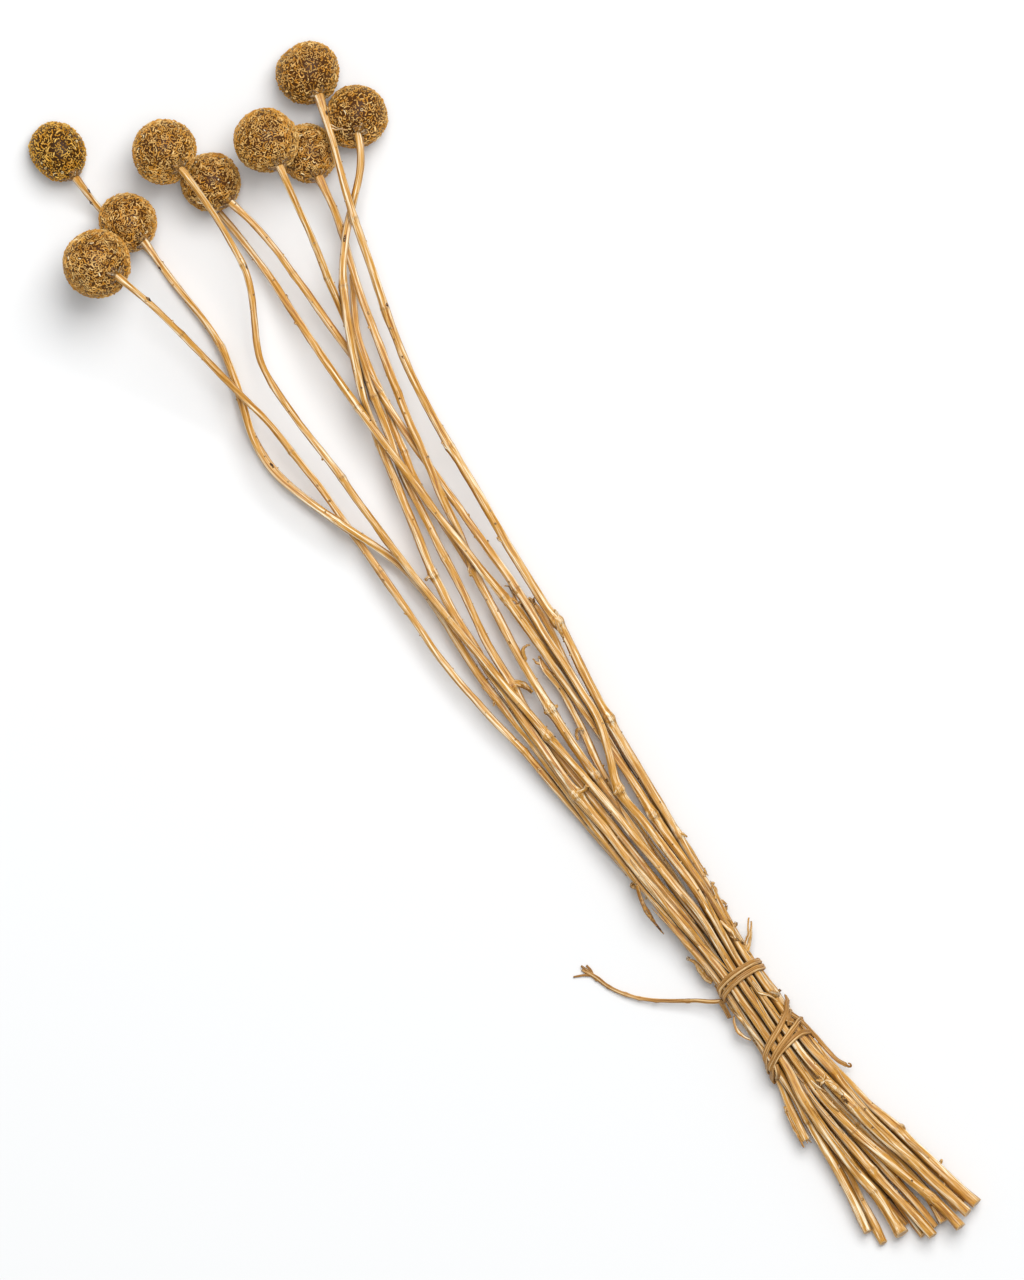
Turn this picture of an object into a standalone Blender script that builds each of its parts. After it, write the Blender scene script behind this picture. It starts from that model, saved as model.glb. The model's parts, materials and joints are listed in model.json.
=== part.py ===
"""A dried craspedia bunch lying on a surface: globe heads on straw stems, some stems bare, tied twice.

The tables are in millimetres. Across is x, along is y from the upper binding towards the heads, and
height is z above the surface. Objects are made in metres.
"""

import math

import bmesh
import bpy
import numpy as np
from mathutils import Vector

MM = 0.001
GAP = 0.3  # clearance of a piece against what it touches

# Heads: centre, half width, half length, and where the neck meets the head as seen from above.
HEADS = {
    "head_1": ((-39.4, 406.4, 8.3), 9.8, 11.8, (-39.4, 396.3)),
    "head_2": ((-32.4, 369.2, 15.6), 10.9, 11.8, (-31.4, 360.4)),
    "head_3": ((-51.0, 362.6, 29.6), 12.8, 12.8, (-47.2, 354.8)),
    "head_4": ((-6.2, 383.7, 22.4), 12.6, 11.7, (-4.4, 374.9)),
    "head_5": ((2.2, 364.5, 9.65), 11.2, 11.6, (3.9, 354.3)),
    "head_6": ((28.7, 365.2, 27.6), 12.5, 12.2, (27.4, 354.8)),
    "head_7": ((39.3, 352.8, 9.15), 10.6, 11.7, (37.6, 344.0)),
    "head_8": ((56.2, 378.2, 12.6), 11.9, 11.6, (54.9, 369.0)),
    "head_9": ((62.4, 354.2, 10.05), 11.7, 12.4, (59.2, 348.7)),
}
FLORETS = 114  # a head's florets, larger than life
FLORET_VALLEY = 0.9  # radius between florets as a share of the radius at their tips
FLORET_JITTER = 0.035
NECK_DEPTH = 0.42  # how far towards the head's centre the neck reaches

# Stem radius by place along the bunch, thin at the neck and stout at the cut end.
STEM_RADIUS = ((-125, 1.98), (-60, 1.8), (-20, 1.62), (100, 1.62), (200, 1.55), (300, 1.45), (350, 1.3))
NODE_BULGE = 0.24
NODE_WIDTH = 1.5

# Stems: girth against the radius above, then (along, across) and (along, height) from cut end to top.
STEMS = {
    "stem_1": (
        0.95,
        ((-113, -11.3), (-100, -10.1), (-80, -7.6), (-65, -7.0), (-42, -6.6), (-25, -6.2), (0, -6.0),
         (40, -8.0), (80, -12.5), (120, -15.5), (150, -18.0), (190, -17.6), (202, -19.0), (230, -30.0),
         (245, -35.5), (262, -39.0), (275, -38.6), (290, -34.5), (305, -30.5), (320, -29.4),
         (345, -31.2), (352, -31.3), (357, -31.8), (362, -33.6), (369, -36.7), (380, -38.6),
         (390, -39.2)),
        ((-113, 2.1), (-60, 3.2), (-25, 4.2), (0, 4.2), (60, 4.6), (150, 5.0), (240, 4.5), (330, 3.0),
         (369, 2.6), (380, 5.0), (389, 9.4)),
    ),
    "stem_2": (
        0.95,
        ((-106, -14.1), (-90, -11.5), (-75, -9.8), (-60, -9.3), (-50, -7.9), (-25, -7.6), (0, -8.2),
         (20, -9.0), (40, -10.8), (60, -12.6), (80, -14.2), (120, -15.9), (150, -18.2), (190, -17.4),
         (200, -18.5), (215, -23.2), (230, -30.0), (245, -35.7), (260, -39.5), (275, -38.8),
         (290, -34.2), (305, -30.2), (320, -29.2), (345, -31.2)),
        ((-106, 4.2), (-60, 6.5), (-25, 8.6), (0, 9.6), (50, 10.0), (100, 8.4), (150, 9.0), (190, 10.5),
         (202, 11.4), (225, 13.7), (250, 14.0), (292, 14.3), (320, 17.5), (345, 22.0)),
    ),
    "stem_3": (
        0.9,
        ((-64, -14.5), (-50, -12.5), (-42, -11.0), (-33, -9.8), (-20, -9.3), (0, -9.4), (20, -10.3),
         (60, -13.3), (80, -15.4), (100, -17.8), (120, -20.5), (140, -23.7), (160, -26.3), (180, -26.8),
         (220, -27.6), (240, -28.1), (260, -29.1), (280, -31.5), (300, -35.3), (320, -39.0),
         (340, -43.0), (349, -45.8)),
        ((-64, 6.0), (-25, 6.6), (0, 6.6), (50, 7.5), (100, 9.0), (190, 9.4), (225, 10.0), (255, 13.5),
         (275, 16.0), (292, 19.0), (305, 23.5), (320, 29.0), (335, 34.0), (346, 38.0)),
    ),
    "stem_4": (
        0.95,
        ((-124, 16.8), (-110, 13.6), (-90, 8.1), (-70, 2.9), (-60, 1.2), (-45, 0.0), (-25, 0.6),
         (0, 1.4), (20, 1.5), (50, -1.6), (80, -4.6), (120, -9.2), (150, -13.0), (170, -15.0),
         (190, -17.0), (220, -18.7), (250, -19.9), (270, -21.2), (290, -21.2), (300, -19.5),
         (310, -14.4), (320, -8.6), (330, -5.4), (345, -3.9), (362, -3.8)),
        ((-124, 8.0), (-60, 10.5), (-25, 12.2), (0, 12.6), (50, 13.0), (100, 13.0), (135, 13.8),
         (162, 14.6), (200, 16.0), (250, 18.5), (295, 20.5), (330, 22.5), (345, 24.5), (355, 26.5),
         (366, 29.4)),
    ),
    "stem_5": (
        1.0,
        ((-121, 21.8), (-110, 19.1), (-90, 14.2), (-82, 11.6), (-60, 8.1), (-40, 5.2), (-25, 4.7),
         (0, 5.0), (40, 5.1), (60, 3.4), (80, 1.9), (86, 1.3), (93, 3.6), (100, 6.4), (106, 8.7),
         (112, 10.3), (120, 10.6), (140, 10.9), (170, 12.2), (200, 11.3), (230, 10.6), (260, 10.6),
         (290, 9.4), (320, 8.8), (335, 7.8), (345, 6.3)),
        ((-121, 6.5), (-60, 9.0), (-25, 11.4), (0, 12.0), (50, 12.8), (86, 13.8), (100, 14.0),
         (112, 13.2), (150, 11.5), (200, 11.3), (230, 11.6), (260, 13.5), (300, 15.5), (345, 15.8)),
    ),
    "stem_6": (
        1.0,
        ((-121, 5.9), (-110, 4.0), (-90, 0.3), (-70, -1.7), (-45, -4.0), (-25, -4.0), (0, -3.4),
         (20, -2.8), (40, -5.2), (80, -8.2), (100, -9.4), (115, -10.7), (130, -10.7), (145, -9.6),
         (160, -8.7), (180, -5.6), (200, -3.4), (220, -0.6), (231, 0.3), (243, 3.5), (265, 8.7),
         (280, 12.5), (295, 16.3), (305, 18.0), (320, 21.2), (335, 23.7), (347, 25.8)),
        ((-121, 6.3), (-60, 9.5), (-25, 11.3), (0, 11.8), (50, 11.5), (100, 9.5), (135, 9.6),
         (165, 10.3), (200, 11.0), (231, 11.5), (243, 12.0), (265, 14.5), (290, 16.5), (298, 17.8),
         (310, 22.0), (325, 27.5), (340, 32.5), (347, 34.4)),
    ),
    "stem_7": (
        1.05,
        ((-119, 12.0), (-108, 13.0), (-92, 10.9), (-75, 6.7), (-65, 4.0), (-55, 2.7), (-42, 1.9),
         (-25, 0.2), (0, -1.1), (50, -1.5), (80, -2.4), (110, -3.2), (130, -2.6), (150, -1.4),
         (170, 0.8), (180, 1.8), (190, 3.5), (200, 6.0), (220, 8.6), (230, 11.0), (250, 14.3),
         (270, 19.2), (290, 23.8), (300, 26.2), (320, 32.7), (330, 35.4), (338, 36.6)),
        ((-119, 5.8), (-60, 6.8), (-25, 8.0), (0, 8.4), (50, 9.6), (100, 10.8), (150, 11.0), (190, 10.8),
         (215, 14.0), (230, 15.0), (250, 14.6), (280, 13.0), (300, 12.5), (319, 12.9), (332, 15.4),
         (338, 16.6)),
    ),
    "stem_8": (
        1.12,
        ((-120, 25.9), (-100, 21.6), (-90, 19.2), (-76, 16.0), (-60, 12.4), (-50, 11.1), (-35, 10.0),
         (-20, 9.2), (0, 8.8), (30, 8.1), (45, 9.4), (60, 10.6), (80, 11.7), (100, 12.7), (115, 13.5),
         (130, 15.2), (150, 17.9), (158, 17.4), (170, 17.8), (190, 18.9), (220, 21.0), (250, 22.8),
         (270, 26.0), (290, 30.9), (310, 36.5), (325, 40.4), (340, 45.2), (348, 48.4), (362, 52.5)),
        ((-120, 6.6), (-60, 7.6), (-25, 8.4), (0, 8.8), (50, 9.8), (100, 11.0), (150, 12.5), (200, 14.0),
         (250, 16.5), (290, 19.5), (310, 21.3), (325, 22.8), (345, 22.0), (361, 20.8)),
    ),
    "stem_9": (
        1.1,
        ((-114, -3.8), (-97, -2.9), (-88, -4.0), (-60, -6.0), (-25, -5.8), (0, -5.9), (20, -6.4),
         (37, -8.2), (60, -10.0), (80, -11.3), (93, -13.0), (110, -13.1), (130, -13.4), (150, -14.0),
         (162, -13.6), (180, -12.5), (195, -10.8), (210, -7.5), (230, -3.3), (250, 0.6), (265, 4.8),
         (280, 10.8), (295, 17.5), (310, 26.3), (320, 34.6), (327, 42.0), (333, 49.0), (340, 55.0)),
        ((-114, 4.4), (-60, 8.0), (-25, 10.5), (0, 11.4), (50, 11.6), (93, 10.6), (130, 9.8),
         (162, 10.2), (200, 11.5), (235, 12.5), (250, 13.4), (270, 16.5), (290, 20.0), (310, 19.8),
         (325, 19.3), (335, 20.8), (343, 22.0)),
    ),
    "bare_stem_1": (
        1.02,
        ((-118, 19.8), (-95, 16.0), (-75, 12.0), (-65, 10.4), (-45, 8.6), (-25, 7.4), (0, 7.0),
         (30, 7.0), (50, 7.3), (90, 7.7), (120, 7.6), (150, 7.2), (170, 6.6), (190, 4.5), (210, 3.1),
         (240, 1.6), (260, 0.8), (290, 0.0), (320, 0.7), (345, -0.7), (354, -1.7)),
        ((-118, 2.5), (-60, 7.0), (-25, 9.8), (0, 10.4), (50, 10.5), (85, 10.0), (103, 10.2),
         (120, 11.5), (150, 13.0), (190, 14.5), (237, 16.4), (250, 17.2), (270, 16.0), (300, 12.0),
         (330, 7.0), (345, 4.4), (354, 2.9)),
    ),
    "bare_stem_2": (
        0.9,
        ((-119, 8.8), (-100, 6.5), (-80, 3.6), (-60, 1.0), (-25, -0.2), (0, 0.6), (50, -1.2),
         (100, -3.2), (150, -1.4), (170, 0.8), (190, 2.6), (215, 2.9), (229, 3.5), (238, 5.4),
         (252, 8.6), (262, 11.3), (276, 13.5), (286, 16.2), (294, 20.6), (301, 24.9), (306, 27.8)),
        ((-119, 2.3), (-60, 3.4), (-25, 4.0), (0, 4.0), (50, 6.0), (100, 7.0), (150, 7.2), (190, 7.3),
         (220, 9.0), (260, 9.0), (306, 8.2)),
    ),
    "bare_stem_3": (
        0.9,
        ((-119, 2.8), (-80, 1.5), (-60, 2.6), (-25, 3.5), (0, 4.0), (50, 5.5), (90, 7.9), (110, 9.0),
         (150, 9.6), (168, 9.4)),
        ((-119, 2.3), (-60, 3.3), (-25, 4.0), (0, 4.0), (50, 6.3), (100, 6.4), (150, 9.3), (168, 9.8)),
    ),
    "bare_stem_4": (
        0.88,
        ((-112, 0.8), (-100, -1.0), (-80, -3.5), (-60, -4.0), (-25, -2.5), (0, -2.6), (50, 0.4),
         (70, -0.4), (90, -0.2), (100, 1.0), (120, 3.8), (130, 5.0), (137, 4.4), (143, 2.4)),
        ((-112, 2.2), (-60, 3.6), (-25, 4.2), (0, 5.0), (50, 8.0), (90, 8.7), (110, 8.5), (130, 9.2),
         (143, 10.4)),
    ),
    "bare_stem_5": (
        0.9,
        ((-117, 22.4), (-100, 18.4), (-80, 13.8), (-60, 9.6), (-25, 6.5), (0, 6.5), (50, 8.3),
         (80, 10.7), (95, 10.8), (110, 10.5), (130, 10.9), (145, 13.2), (152, 14.3), (163, 14.8)),
        ((-117, 2.3), (-60, 3.5), (-25, 4.2), (0, 4.4), (50, 6.0), (90, 7.2), (130, 7.7), (150, 9.4),
         (163, 10.5)),
    ),
}

# Swollen leaf scars: places along each stem.
SCARS = {
    "stem_2": (-58, 140), "stem_3": (52,), "stem_4": (-109, 118), "stem_5": (-64, 86), "stem_6": (141.5,),
    "stem_7": (95.5, 126, 187), "stem_8": (-80, 110.5, 152, 230), "stem_9": (-95, 93.5, 193.5),
    "bare_stem_1": (71,), "bare_stem_2": (238,), "bare_stem_4": (104,),
}
# Side growth: stem, place along, steps from its middle as (across, along, height), root and tip radius.
TWIGS = (
    ("stem_7", 126.0, ((-2.5, 0.0, 0.7),), 0.85, 0.65),
    ("stem_7", 125.8, ((2.5, -0.2, 0.7),), 0.85, 0.65),
    ("stem_7", 147.0, ((1.5, 0.3, 1.5), (3.0, 2.2, 2.4), (5.2, 3.3, 2.9)), 0.5, 0.4),
    ("stem_7", 187.0, ((-1.6, 0.3, 1.2), (-2.2, -1.8, 1.4)), 0.7, 0.45),
    ("stem_6", 141.5, ((1.4, 0.0, 1.2), (2.9, -1.6, 1.8), (4.0, -4.2, 1.4)), 0.95, 0.6),
    ("stem_9", 193.5, ((-2.1, 0.0, 0.7), (-3.4, -0.2, 0.9)), 0.75, 0.55),
    ("stem_9", 93.5, ((1.4, 0.2, 1.6), (3.2, -0.4, 2.1)), 0.75, 0.5),
    ("stem_8", 230.0, ((-1.2, 0.3, 1.0), (-1.7, 3.0, 1.3)), 0.7, 0.45),
    ("stem_8", 189.0, ((-1.3, 0.2, 0.9), (-1.9, 2.4, 1.1)), 0.65, 0.4),
    ("stem_8", 152.0, ((1.3, 1.0, 1.0), (1.9, 4.4, 1.4)), 0.6, 0.4),
    ("stem_8", 59.0, ((1.4, 0.0, 1.2), (2.6, -2.2, 0.9)), 0.6, 0.4),
    ("stem_8", 36.0, ((1.8, 0.2, 0.7), (2.5, 0.9, 0.8)), 0.7, 0.55),
    ("stem_8", 28.5, ((1.8, 0.6, 0.8), (2.6, -1.2, 0.8)), 0.7, 0.5),
    ("stem_8", 9.5, ((1.4, 0.0, 0.8), (4.2, 3.2, 1.2), (7.6, 7.6, 1.4)), 0.65, 0.4),
    ("stem_8", -80.0, ((2.1, 0.5, 0.8), (2.7, -1.8, 0.9)), 0.8, 0.5),
    ("stem_8", -100.0, ((2.1, 0.0, 0.6), (3.1, 0.9, 0.9)), 0.55, 0.4),
    ("stem_3", 52.0, ((-1.3, 0.0, 0.9), (-2.6, 0.7, 1.2)), 0.7, 0.5),
    ("stem_3", 46.5, ((-1.6, -2.5, 1.1), (-2.7, -8.0, 1.1), (-3.9, -15.5, 0.4)), 0.9, 0.35),
    ("stem_3", 18.0, ((-1.5, -1.0, 1.1), (-2.3, -5.5, 1.2), (-1.9, -10.0, 0.9)), 0.7, 0.4),
    ("stem_3", -50.0, ((-1.7, 0.0, 0.7), (-2.6, -1.2, 0.9)), 0.65, 0.45),
    ("stem_5", 86.0, ((-1.2, 0.2, 1.4), (-2.3, -0.5, 1.6)), 0.8, 0.55),
    ("stem_2", 140.0, ((-1.3, 0.0, 0.8), (-2.2, -0.8, 0.9)), 0.6, 0.45),
    ("bare_stem_4", 136.5, ((0.3, 3.0, 0.5), (0.5, 8.5, 0.8)), 0.75, 0.4),
    ("bare_stem_5", 158.0, ((0.1, 3.0, 0.3), (-0.3, 7.5, 0.4)), 0.8, 0.5),
)

# Pressing the stems apart: station spacing, stations compared each way, clearance, rounds by stiffness.
STATION = 2.0
REACH = 3
PRESS_GAP = 0.5
PRESS_ROUNDS = ((6, 120), (3, 160), (1, 220), (0, 16))
PRESS_SHARE = 0.45
ACROSS_HOLD = 0.97  # each round pulls a stem back this much towards where the bunch shows it
NECK_HOLD = 16.0  # a neck gives way only this far below its head
# The squeeze of the bindings: place along, middle across, half width, half height.
SQUEEZE = ((-70, 0.0, 18.0, 8.5), (-50, -0.6, 13.6, 7.2), (-39, 0.0, 11.0, 6.4), (-30, -0.1, 10.0, 6.3),
           (-20, 0.0, 9.5, 6.4), (0, -0.3, 9.0, 6.7), (8, -0.5, 9.2, 6.8), (25, -0.5, 10.6, 7.2),
           (50, -0.2, 13.0, 8.4))
BUNDLE_FOOT = 1.95  # lowest side of the stems over the surface, at the bindings
RING_TOLERANCE = 0.13

# Bindings of split stalk: turn in degrees (0 right, 90 top, 180 left), place along, lift over a strand.
STRAND_RADIUS = 0.85
STRAND_CLEARANCE = 0.45
STRAND_STEP = 17.0
TIE_STEP = 4.5  # spacing of the rings along a loose end
LOOSE_RADIUS = 0.7
STRAND_FOOT = 0.62  # height of the strand's middle where it lies on the surface
STRAND_SAG = 0.6  # a strand that passes the surface by less than this lies on it
FOOT_BAND = 0.4  # what would be lower than this is pressed flat onto the surface
TIE_1_TURNS = ((180, -2.6, 0), (150, -1.6, 0), (90, 1.2, 0), (30, 0.2, 0), (0, -0.4, 0), (-90, 0.3, 0),
               (-150, -0.4, 0), (-180, -0.2, 0), (-210, 1.6, 0), (-270, 3.8, 0), (-330, 2.9, 0),
               (-360, 2.3, 0),
               (-450, 2.7, 0), (-500, 2.9, 0))
TIE_1_TAIL = ((-48.3, 37.2, 0.9), (-45.6, 32.0, 1.0), (-43.6, 26.5, 1.2), (-39.8, 20.0, 1.8),
              (-34.6, 14.6, 2.6), (-27.0, 8.6, 3.9), (-19.0, 3.4, 5.3), (-13.4, -0.9, 6.8))
TIE_1_SHORT_END = ((-11.4, -1.8, 7.8), (-11.4, -5.0, 7.2), (-11.8, -9.4, 6.0))
TIE_2_TURNS = ((-20, -14.5, 0), (20, -16.5, 0), (60, -20.0, 0), (90, -23.3, 0), (130, -28.5, 0),
               (160, -32.0, 0), (180, -33.8, 0), (270, -33.4, 0), (340, -32.2, 0), (360, -31.6, 0),
               (400, -29.6, 0), (430, -28.9, 0), (450, -29.8, 0), (490, -33.4, 0), (520, -36.4, 0),
               (540, -38.0, 0), (630, -37.4, 0), (690, -36.8, 0))
TIE_2_CROSSING = ((-50, -24.4, 0), (0, -25.3, 0), (30, -24.7, 0.1), (60, -25.4, 0.6), (90, -28.0, 1.1),
                  (120, -31.8, 1.1), (145, -34.2, 0.8))
TIE_2_LOOSE_END = ((8.4, -19.0, 12.2), (10.6, -24.0, 10.9), (12.0, -31.5, 9.6), (13.0, -40.0, 8.2),
                   (14.2, -46.0, 7.4), (14.8, -49.0, 6.6))


def material(name, colour, roughness):
    """A dry, matt Principled surface; colour is linear red, green and blue."""
    made = bpy.data.materials.new(name)
    made.use_nodes = True
    shader = made.node_tree.nodes["Principled BSDF"]
    shader.inputs["Base Color"].default_value = (*colour, 1)
    shader.inputs["Roughness"].default_value = roughness
    shader.inputs["Metallic"].default_value = 0
    return made


def smooth_value(knots, at):
    """A cubic through (place, value) knots, read at each place in at."""
    places, values = np.array(knots, float).T
    slopes = np.gradient(values, places)
    i = np.clip(np.searchsorted(places, at, side="right") - 1, 0, len(places) - 2)
    span = places[i + 1] - places[i]
    t = (at - places[i]) / span
    start = (1 + 2 * t) * (1 - t) ** 2 * values[i] + t * (1 - t) ** 2 * span * slopes[i]
    end = t * t * (3 - 2 * t) * values[i + 1] + t * t * (t - 1) * span * slopes[i + 1]
    return start + end


def neck_points(head):
    """Where a neck meets its head's surface, and where it ends inside the head."""
    centre, across, along, (x, y) = HEADS[head]
    radius = (across + along) / 2
    plan = math.hypot(x - centre[0], y - centre[1])
    neck = np.array((x, y, centre[2] + 0.95 * math.sqrt(radius**2 - plan**2)))
    return neck, neck + NECK_DEPTH * (np.array(centre) - neck)


def stem_radius(stem, at):
    places, radii = zip(*STEM_RADIUS)
    radius = STEMS[stem][0] * np.interp(at, places, radii)
    for scar in SCARS.get(stem, ()):
        radius = radius * (1 + NODE_BULGE * np.exp(-(((at - scar) / NODE_WIDTH) ** 2)))
    return radius


def drawn_lines():
    """Each stem's middle line before pressing: its two ends along, and knots across and in height."""
    lines = {}
    for stem, (_, across, height) in STEMS.items():
        head = stem.replace("stem", "head")
        if head in HEADS:
            neck, end = neck_points(head)
            across = (*across, (neck[1], neck[0]), (end[1], end[0]))
            height = (*height, (neck[1], neck[2]), (end[1], end[2]))
        lines[stem] = (across[0][0], across[-1][0], across, height)
    return lines


def shifted(values, steps):
    """The rows moved along by steps stations, with nothing beyond their ends."""
    moved = np.full_like(values, np.nan)
    if steps > 0:
        moved[:, steps:] = values[:, :-steps]
    elif steps < 0:
        moved[:, :steps] = values[:, -steps:]
    else:
        moved[:] = values
    return moved


def press_neighbours(x, z, radius):
    """How far each station is pushed by the stems that it meets."""
    nearest = np.full((len(x), *x.shape), np.inf)
    away_x = np.zeros_like(nearest)
    away_z = np.zeros_like(nearest)
    both = np.zeros_like(nearest)
    for steps in range(-REACH, REACH + 1):
        dx = x[:, None, :] - shifted(x, steps)[None]
        dz = z[:, None, :] - shifted(z, steps)[None]
        distance = np.sqrt(dx * dx + dz * dz + (steps * STATION) ** 2)
        reach = radius[:, None, :] + shifted(radius, steps)[None]
        nearer = distance < nearest
        nearest = np.where(nearer, distance, nearest)
        away_x = np.where(nearer, dx, away_x)
        away_z = np.where(nearer, dz, away_z)
        both = np.where(nearer, reach, both)
    lacking = np.clip(both + PRESS_GAP - nearest, 0, None)
    lacking[np.arange(len(x)), np.arange(len(x))] = 0
    plane = np.maximum(np.hypot(away_x, away_z), 1e-6)
    return (lacking * away_x / plane).sum(1), (lacking * away_z / plane).sum(1)


def press_heads(x, z, radius, places, stems):
    """How far each station is pushed by the heads that its stem passes."""
    push_x = np.zeros_like(x)
    push_z = np.zeros_like(z)
    for head, (centre, across, along, _) in HEADS.items():
        dx = x - centre[0]
        dz = z - centre[2]
        distance = np.sqrt(dx * dx + dz * dz + (places - centre[1]) ** 2)
        lacking = np.clip(max(across, along) + radius + PRESS_GAP - distance, 0, None)
        lacking[stems.index(head.replace("head", "stem"))] = 0
        plane = np.maximum(np.hypot(dx, dz), 1e-6)
        push_x += np.nan_to_num(lacking * dx / plane)
        push_z += np.nan_to_num(lacking * dz / plane)
    return push_x, push_z


def eased(rows, times):
    """Rows averaged with their neighbours, which keeps bends long."""
    for _ in range(times):
        before = shifted(rows, 1)
        after = shifted(rows, -1)
        before = np.where(np.isnan(before), rows, before)
        after = np.where(np.isnan(after), rows, after)
        rows = (before + 2 * rows + after) / 4
    return rows


def squeezed(x, z, radius, places):
    """The stems drawn together inside each binding's oval."""
    squeeze = np.array(SQUEEZE, float).T
    within = (places >= squeeze[0][0]) & (places <= squeeze[0][-1])
    middle, wide, high = (np.interp(places, squeeze[0], row) for row in squeeze[1:])
    level = BUNDLE_FOOT + high
    out = np.hypot((x - middle) / (wide - radius), (z - level) / (high - radius))
    scale = np.where(within & (out > 1), 1 / np.maximum(out, 1e-6), 1.0)
    return middle + (x - middle) * scale, level + (z - level) * scale


def settle(lines):
    """Presses the drawn lines apart until stems only touch; returns places, across and height of each."""
    stems = list(lines)
    first = math.ceil(min(line[0] for line in lines.values()) / STATION)
    last = math.floor(max(line[1] for line in lines.values()) / STATION)
    places = STATION * np.arange(first, last + 1)
    drawn_x = np.full((len(stems), len(places)), np.nan)
    drawn_z = drawn_x.copy()
    radius = drawn_x.copy()
    free = np.ones_like(drawn_x)
    for row, (stem, (start, end, across, height)) in enumerate(lines.items()):
        on = (places >= start) & (places <= end)
        drawn_x[row, on] = smooth_value(across, places[on])
        drawn_z[row, on] = smooth_value(height, places[on])
        radius[row, on] = stem_radius(stem, places[on])
        if stem.replace("stem", "head") in HEADS:
            free[row] = np.clip((across[-2][0] - 4 - places) / NECK_HOLD, 0, 1)
    x = drawn_x.copy()
    z = drawn_z.copy()
    for stiffness, rounds in PRESS_ROUNDS:
        for _ in range(rounds):
            push_x, push_z = press_neighbours(x, z, radius)
            head_x, head_z = press_heads(x, z, radius, places, stems)
            pressed_x = x + PRESS_SHARE * (push_x + head_x)
            pressed_z = z + PRESS_SHARE * (push_z + head_z)
            x, z = squeezed(pressed_x, pressed_z, radius, places)
            x = drawn_x + eased((x - drawn_x) * free * ACROSS_HOLD, stiffness)
            z = drawn_z + eased((z - drawn_z) * free, stiffness)
            z = np.maximum(z, radius)
    settled = {}
    for row, (stem, (start, end, across, height)) in enumerate(lines.items()):
        on = ~np.isnan(x[row])
        moved_x = x[row, on] - drawn_x[row, on]
        moved_z = z[row, on] - drawn_z[row, on]
        ends = np.array((start, *places[on], end), float)
        settled[stem] = (
            ends,
            smooth_value(across, ends) + np.array((moved_x[0], *moved_x, moved_x[-1])),
            smooth_value(height, ends) + np.array((moved_z[0], *moved_z, moved_z[-1])),
        )
    return settled


def thinned(points, tolerance):
    """Indices of the points that keep the line within tolerance."""
    if len(points) < 3:
        return [0, len(points) - 1]
    chord = points[-1] - points[0]
    chord = chord / np.linalg.norm(chord)
    offsets = points - points[0]
    offsets = offsets - np.outer(offsets @ chord, chord)
    off = np.linalg.norm(offsets, axis=1)
    worst = int(off.argmax())
    if off[worst] < tolerance:
        return [0, len(points) - 1]
    before = thinned(points[: worst + 1], tolerance)
    after = thinned(points[worst:], tolerance)
    return before + [worst + i for i in after[1:]]


def stem_rings(stem, line):
    """The stem's ring middles and radii: where it bends, and close together at leaf scars."""
    places = line[0]
    points = np.column_stack((line[1], line[0], line[2]))
    at = places[thinned(points, RING_TOLERANCE)]
    for scar in SCARS.get(stem, ()):
        at = at[np.abs(at - scar) > 2 * NODE_WIDTH]
        at = np.concatenate((at, (scar - 1.3 * NODE_WIDTH, scar, scar + 1.3 * NODE_WIDTH)))
    at = np.unique(np.concatenate((at, (places[0], places[-1]))))
    middles = np.column_stack((np.interp(at, places, line[1]), at, np.interp(at, places, line[2])))
    return middles, stem_radius(stem, at)


def tube(name, points, radii, resolution):
    """A closed tube along points, made as a curve and turned into a mesh with its caps welded."""
    curve = bpy.data.curves.new(name, "CURVE")
    curve.dimensions = "3D"
    curve.bevel_depth = MM
    curve.bevel_resolution = resolution
    curve.use_fill_caps = True
    spline = curve.splines.new("POLY")
    spline.points.add(len(points) - 1)
    for point, middle, radius in zip(spline.points, points, np.broadcast_to(radii, len(points))):
        point.co = (*(float(v) * MM for v in middle), 1)
        point.radius = float(radius)
    guide = bpy.data.objects.new(name + "_guide", curve)
    bpy.context.scene.collection.objects.link(guide)
    graph = bpy.context.evaluated_depsgraph_get()
    mesh = bpy.data.meshes.new_from_object(guide.evaluated_get(graph))
    bpy.data.objects.remove(guide)
    form = bmesh.new()
    form.from_mesh(mesh)
    bmesh.ops.remove_doubles(form, verts=form.verts, dist=1e-6)
    bmesh.ops.recalc_face_normals(form, faces=form.faces)
    form.to_mesh(mesh)
    form.free()
    made = bpy.data.objects.new(name, mesh)
    return made


def combined(body, others, operation):
    """Joins others to body, or cuts them from it, and removes them."""
    work = bpy.data.collections.new(body.name + "_" + operation.lower())
    bpy.context.scene.collection.children.link(work)
    for other in others:
        other.hide_render = True
        other.display_type = "WIRE"
        work.objects.link(other)
    bpy.context.scene.collection.objects.link(body)
    boolean = body.modifiers.new("combine", "BOOLEAN")
    boolean.operand_type = "COLLECTION"
    boolean.collection = work
    boolean.operation = operation
    boolean.solver = "EXACT"
    graph = bpy.context.evaluated_depsgraph_get()
    mesh = bpy.data.meshes.new_from_object(body.evaluated_get(graph))
    body.modifiers.clear()
    body.data = mesh
    bpy.context.scene.collection.objects.unlink(body)
    for other in others:
        bpy.data.objects.remove(other)
    bpy.data.collections.remove(work)
    return body


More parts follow.
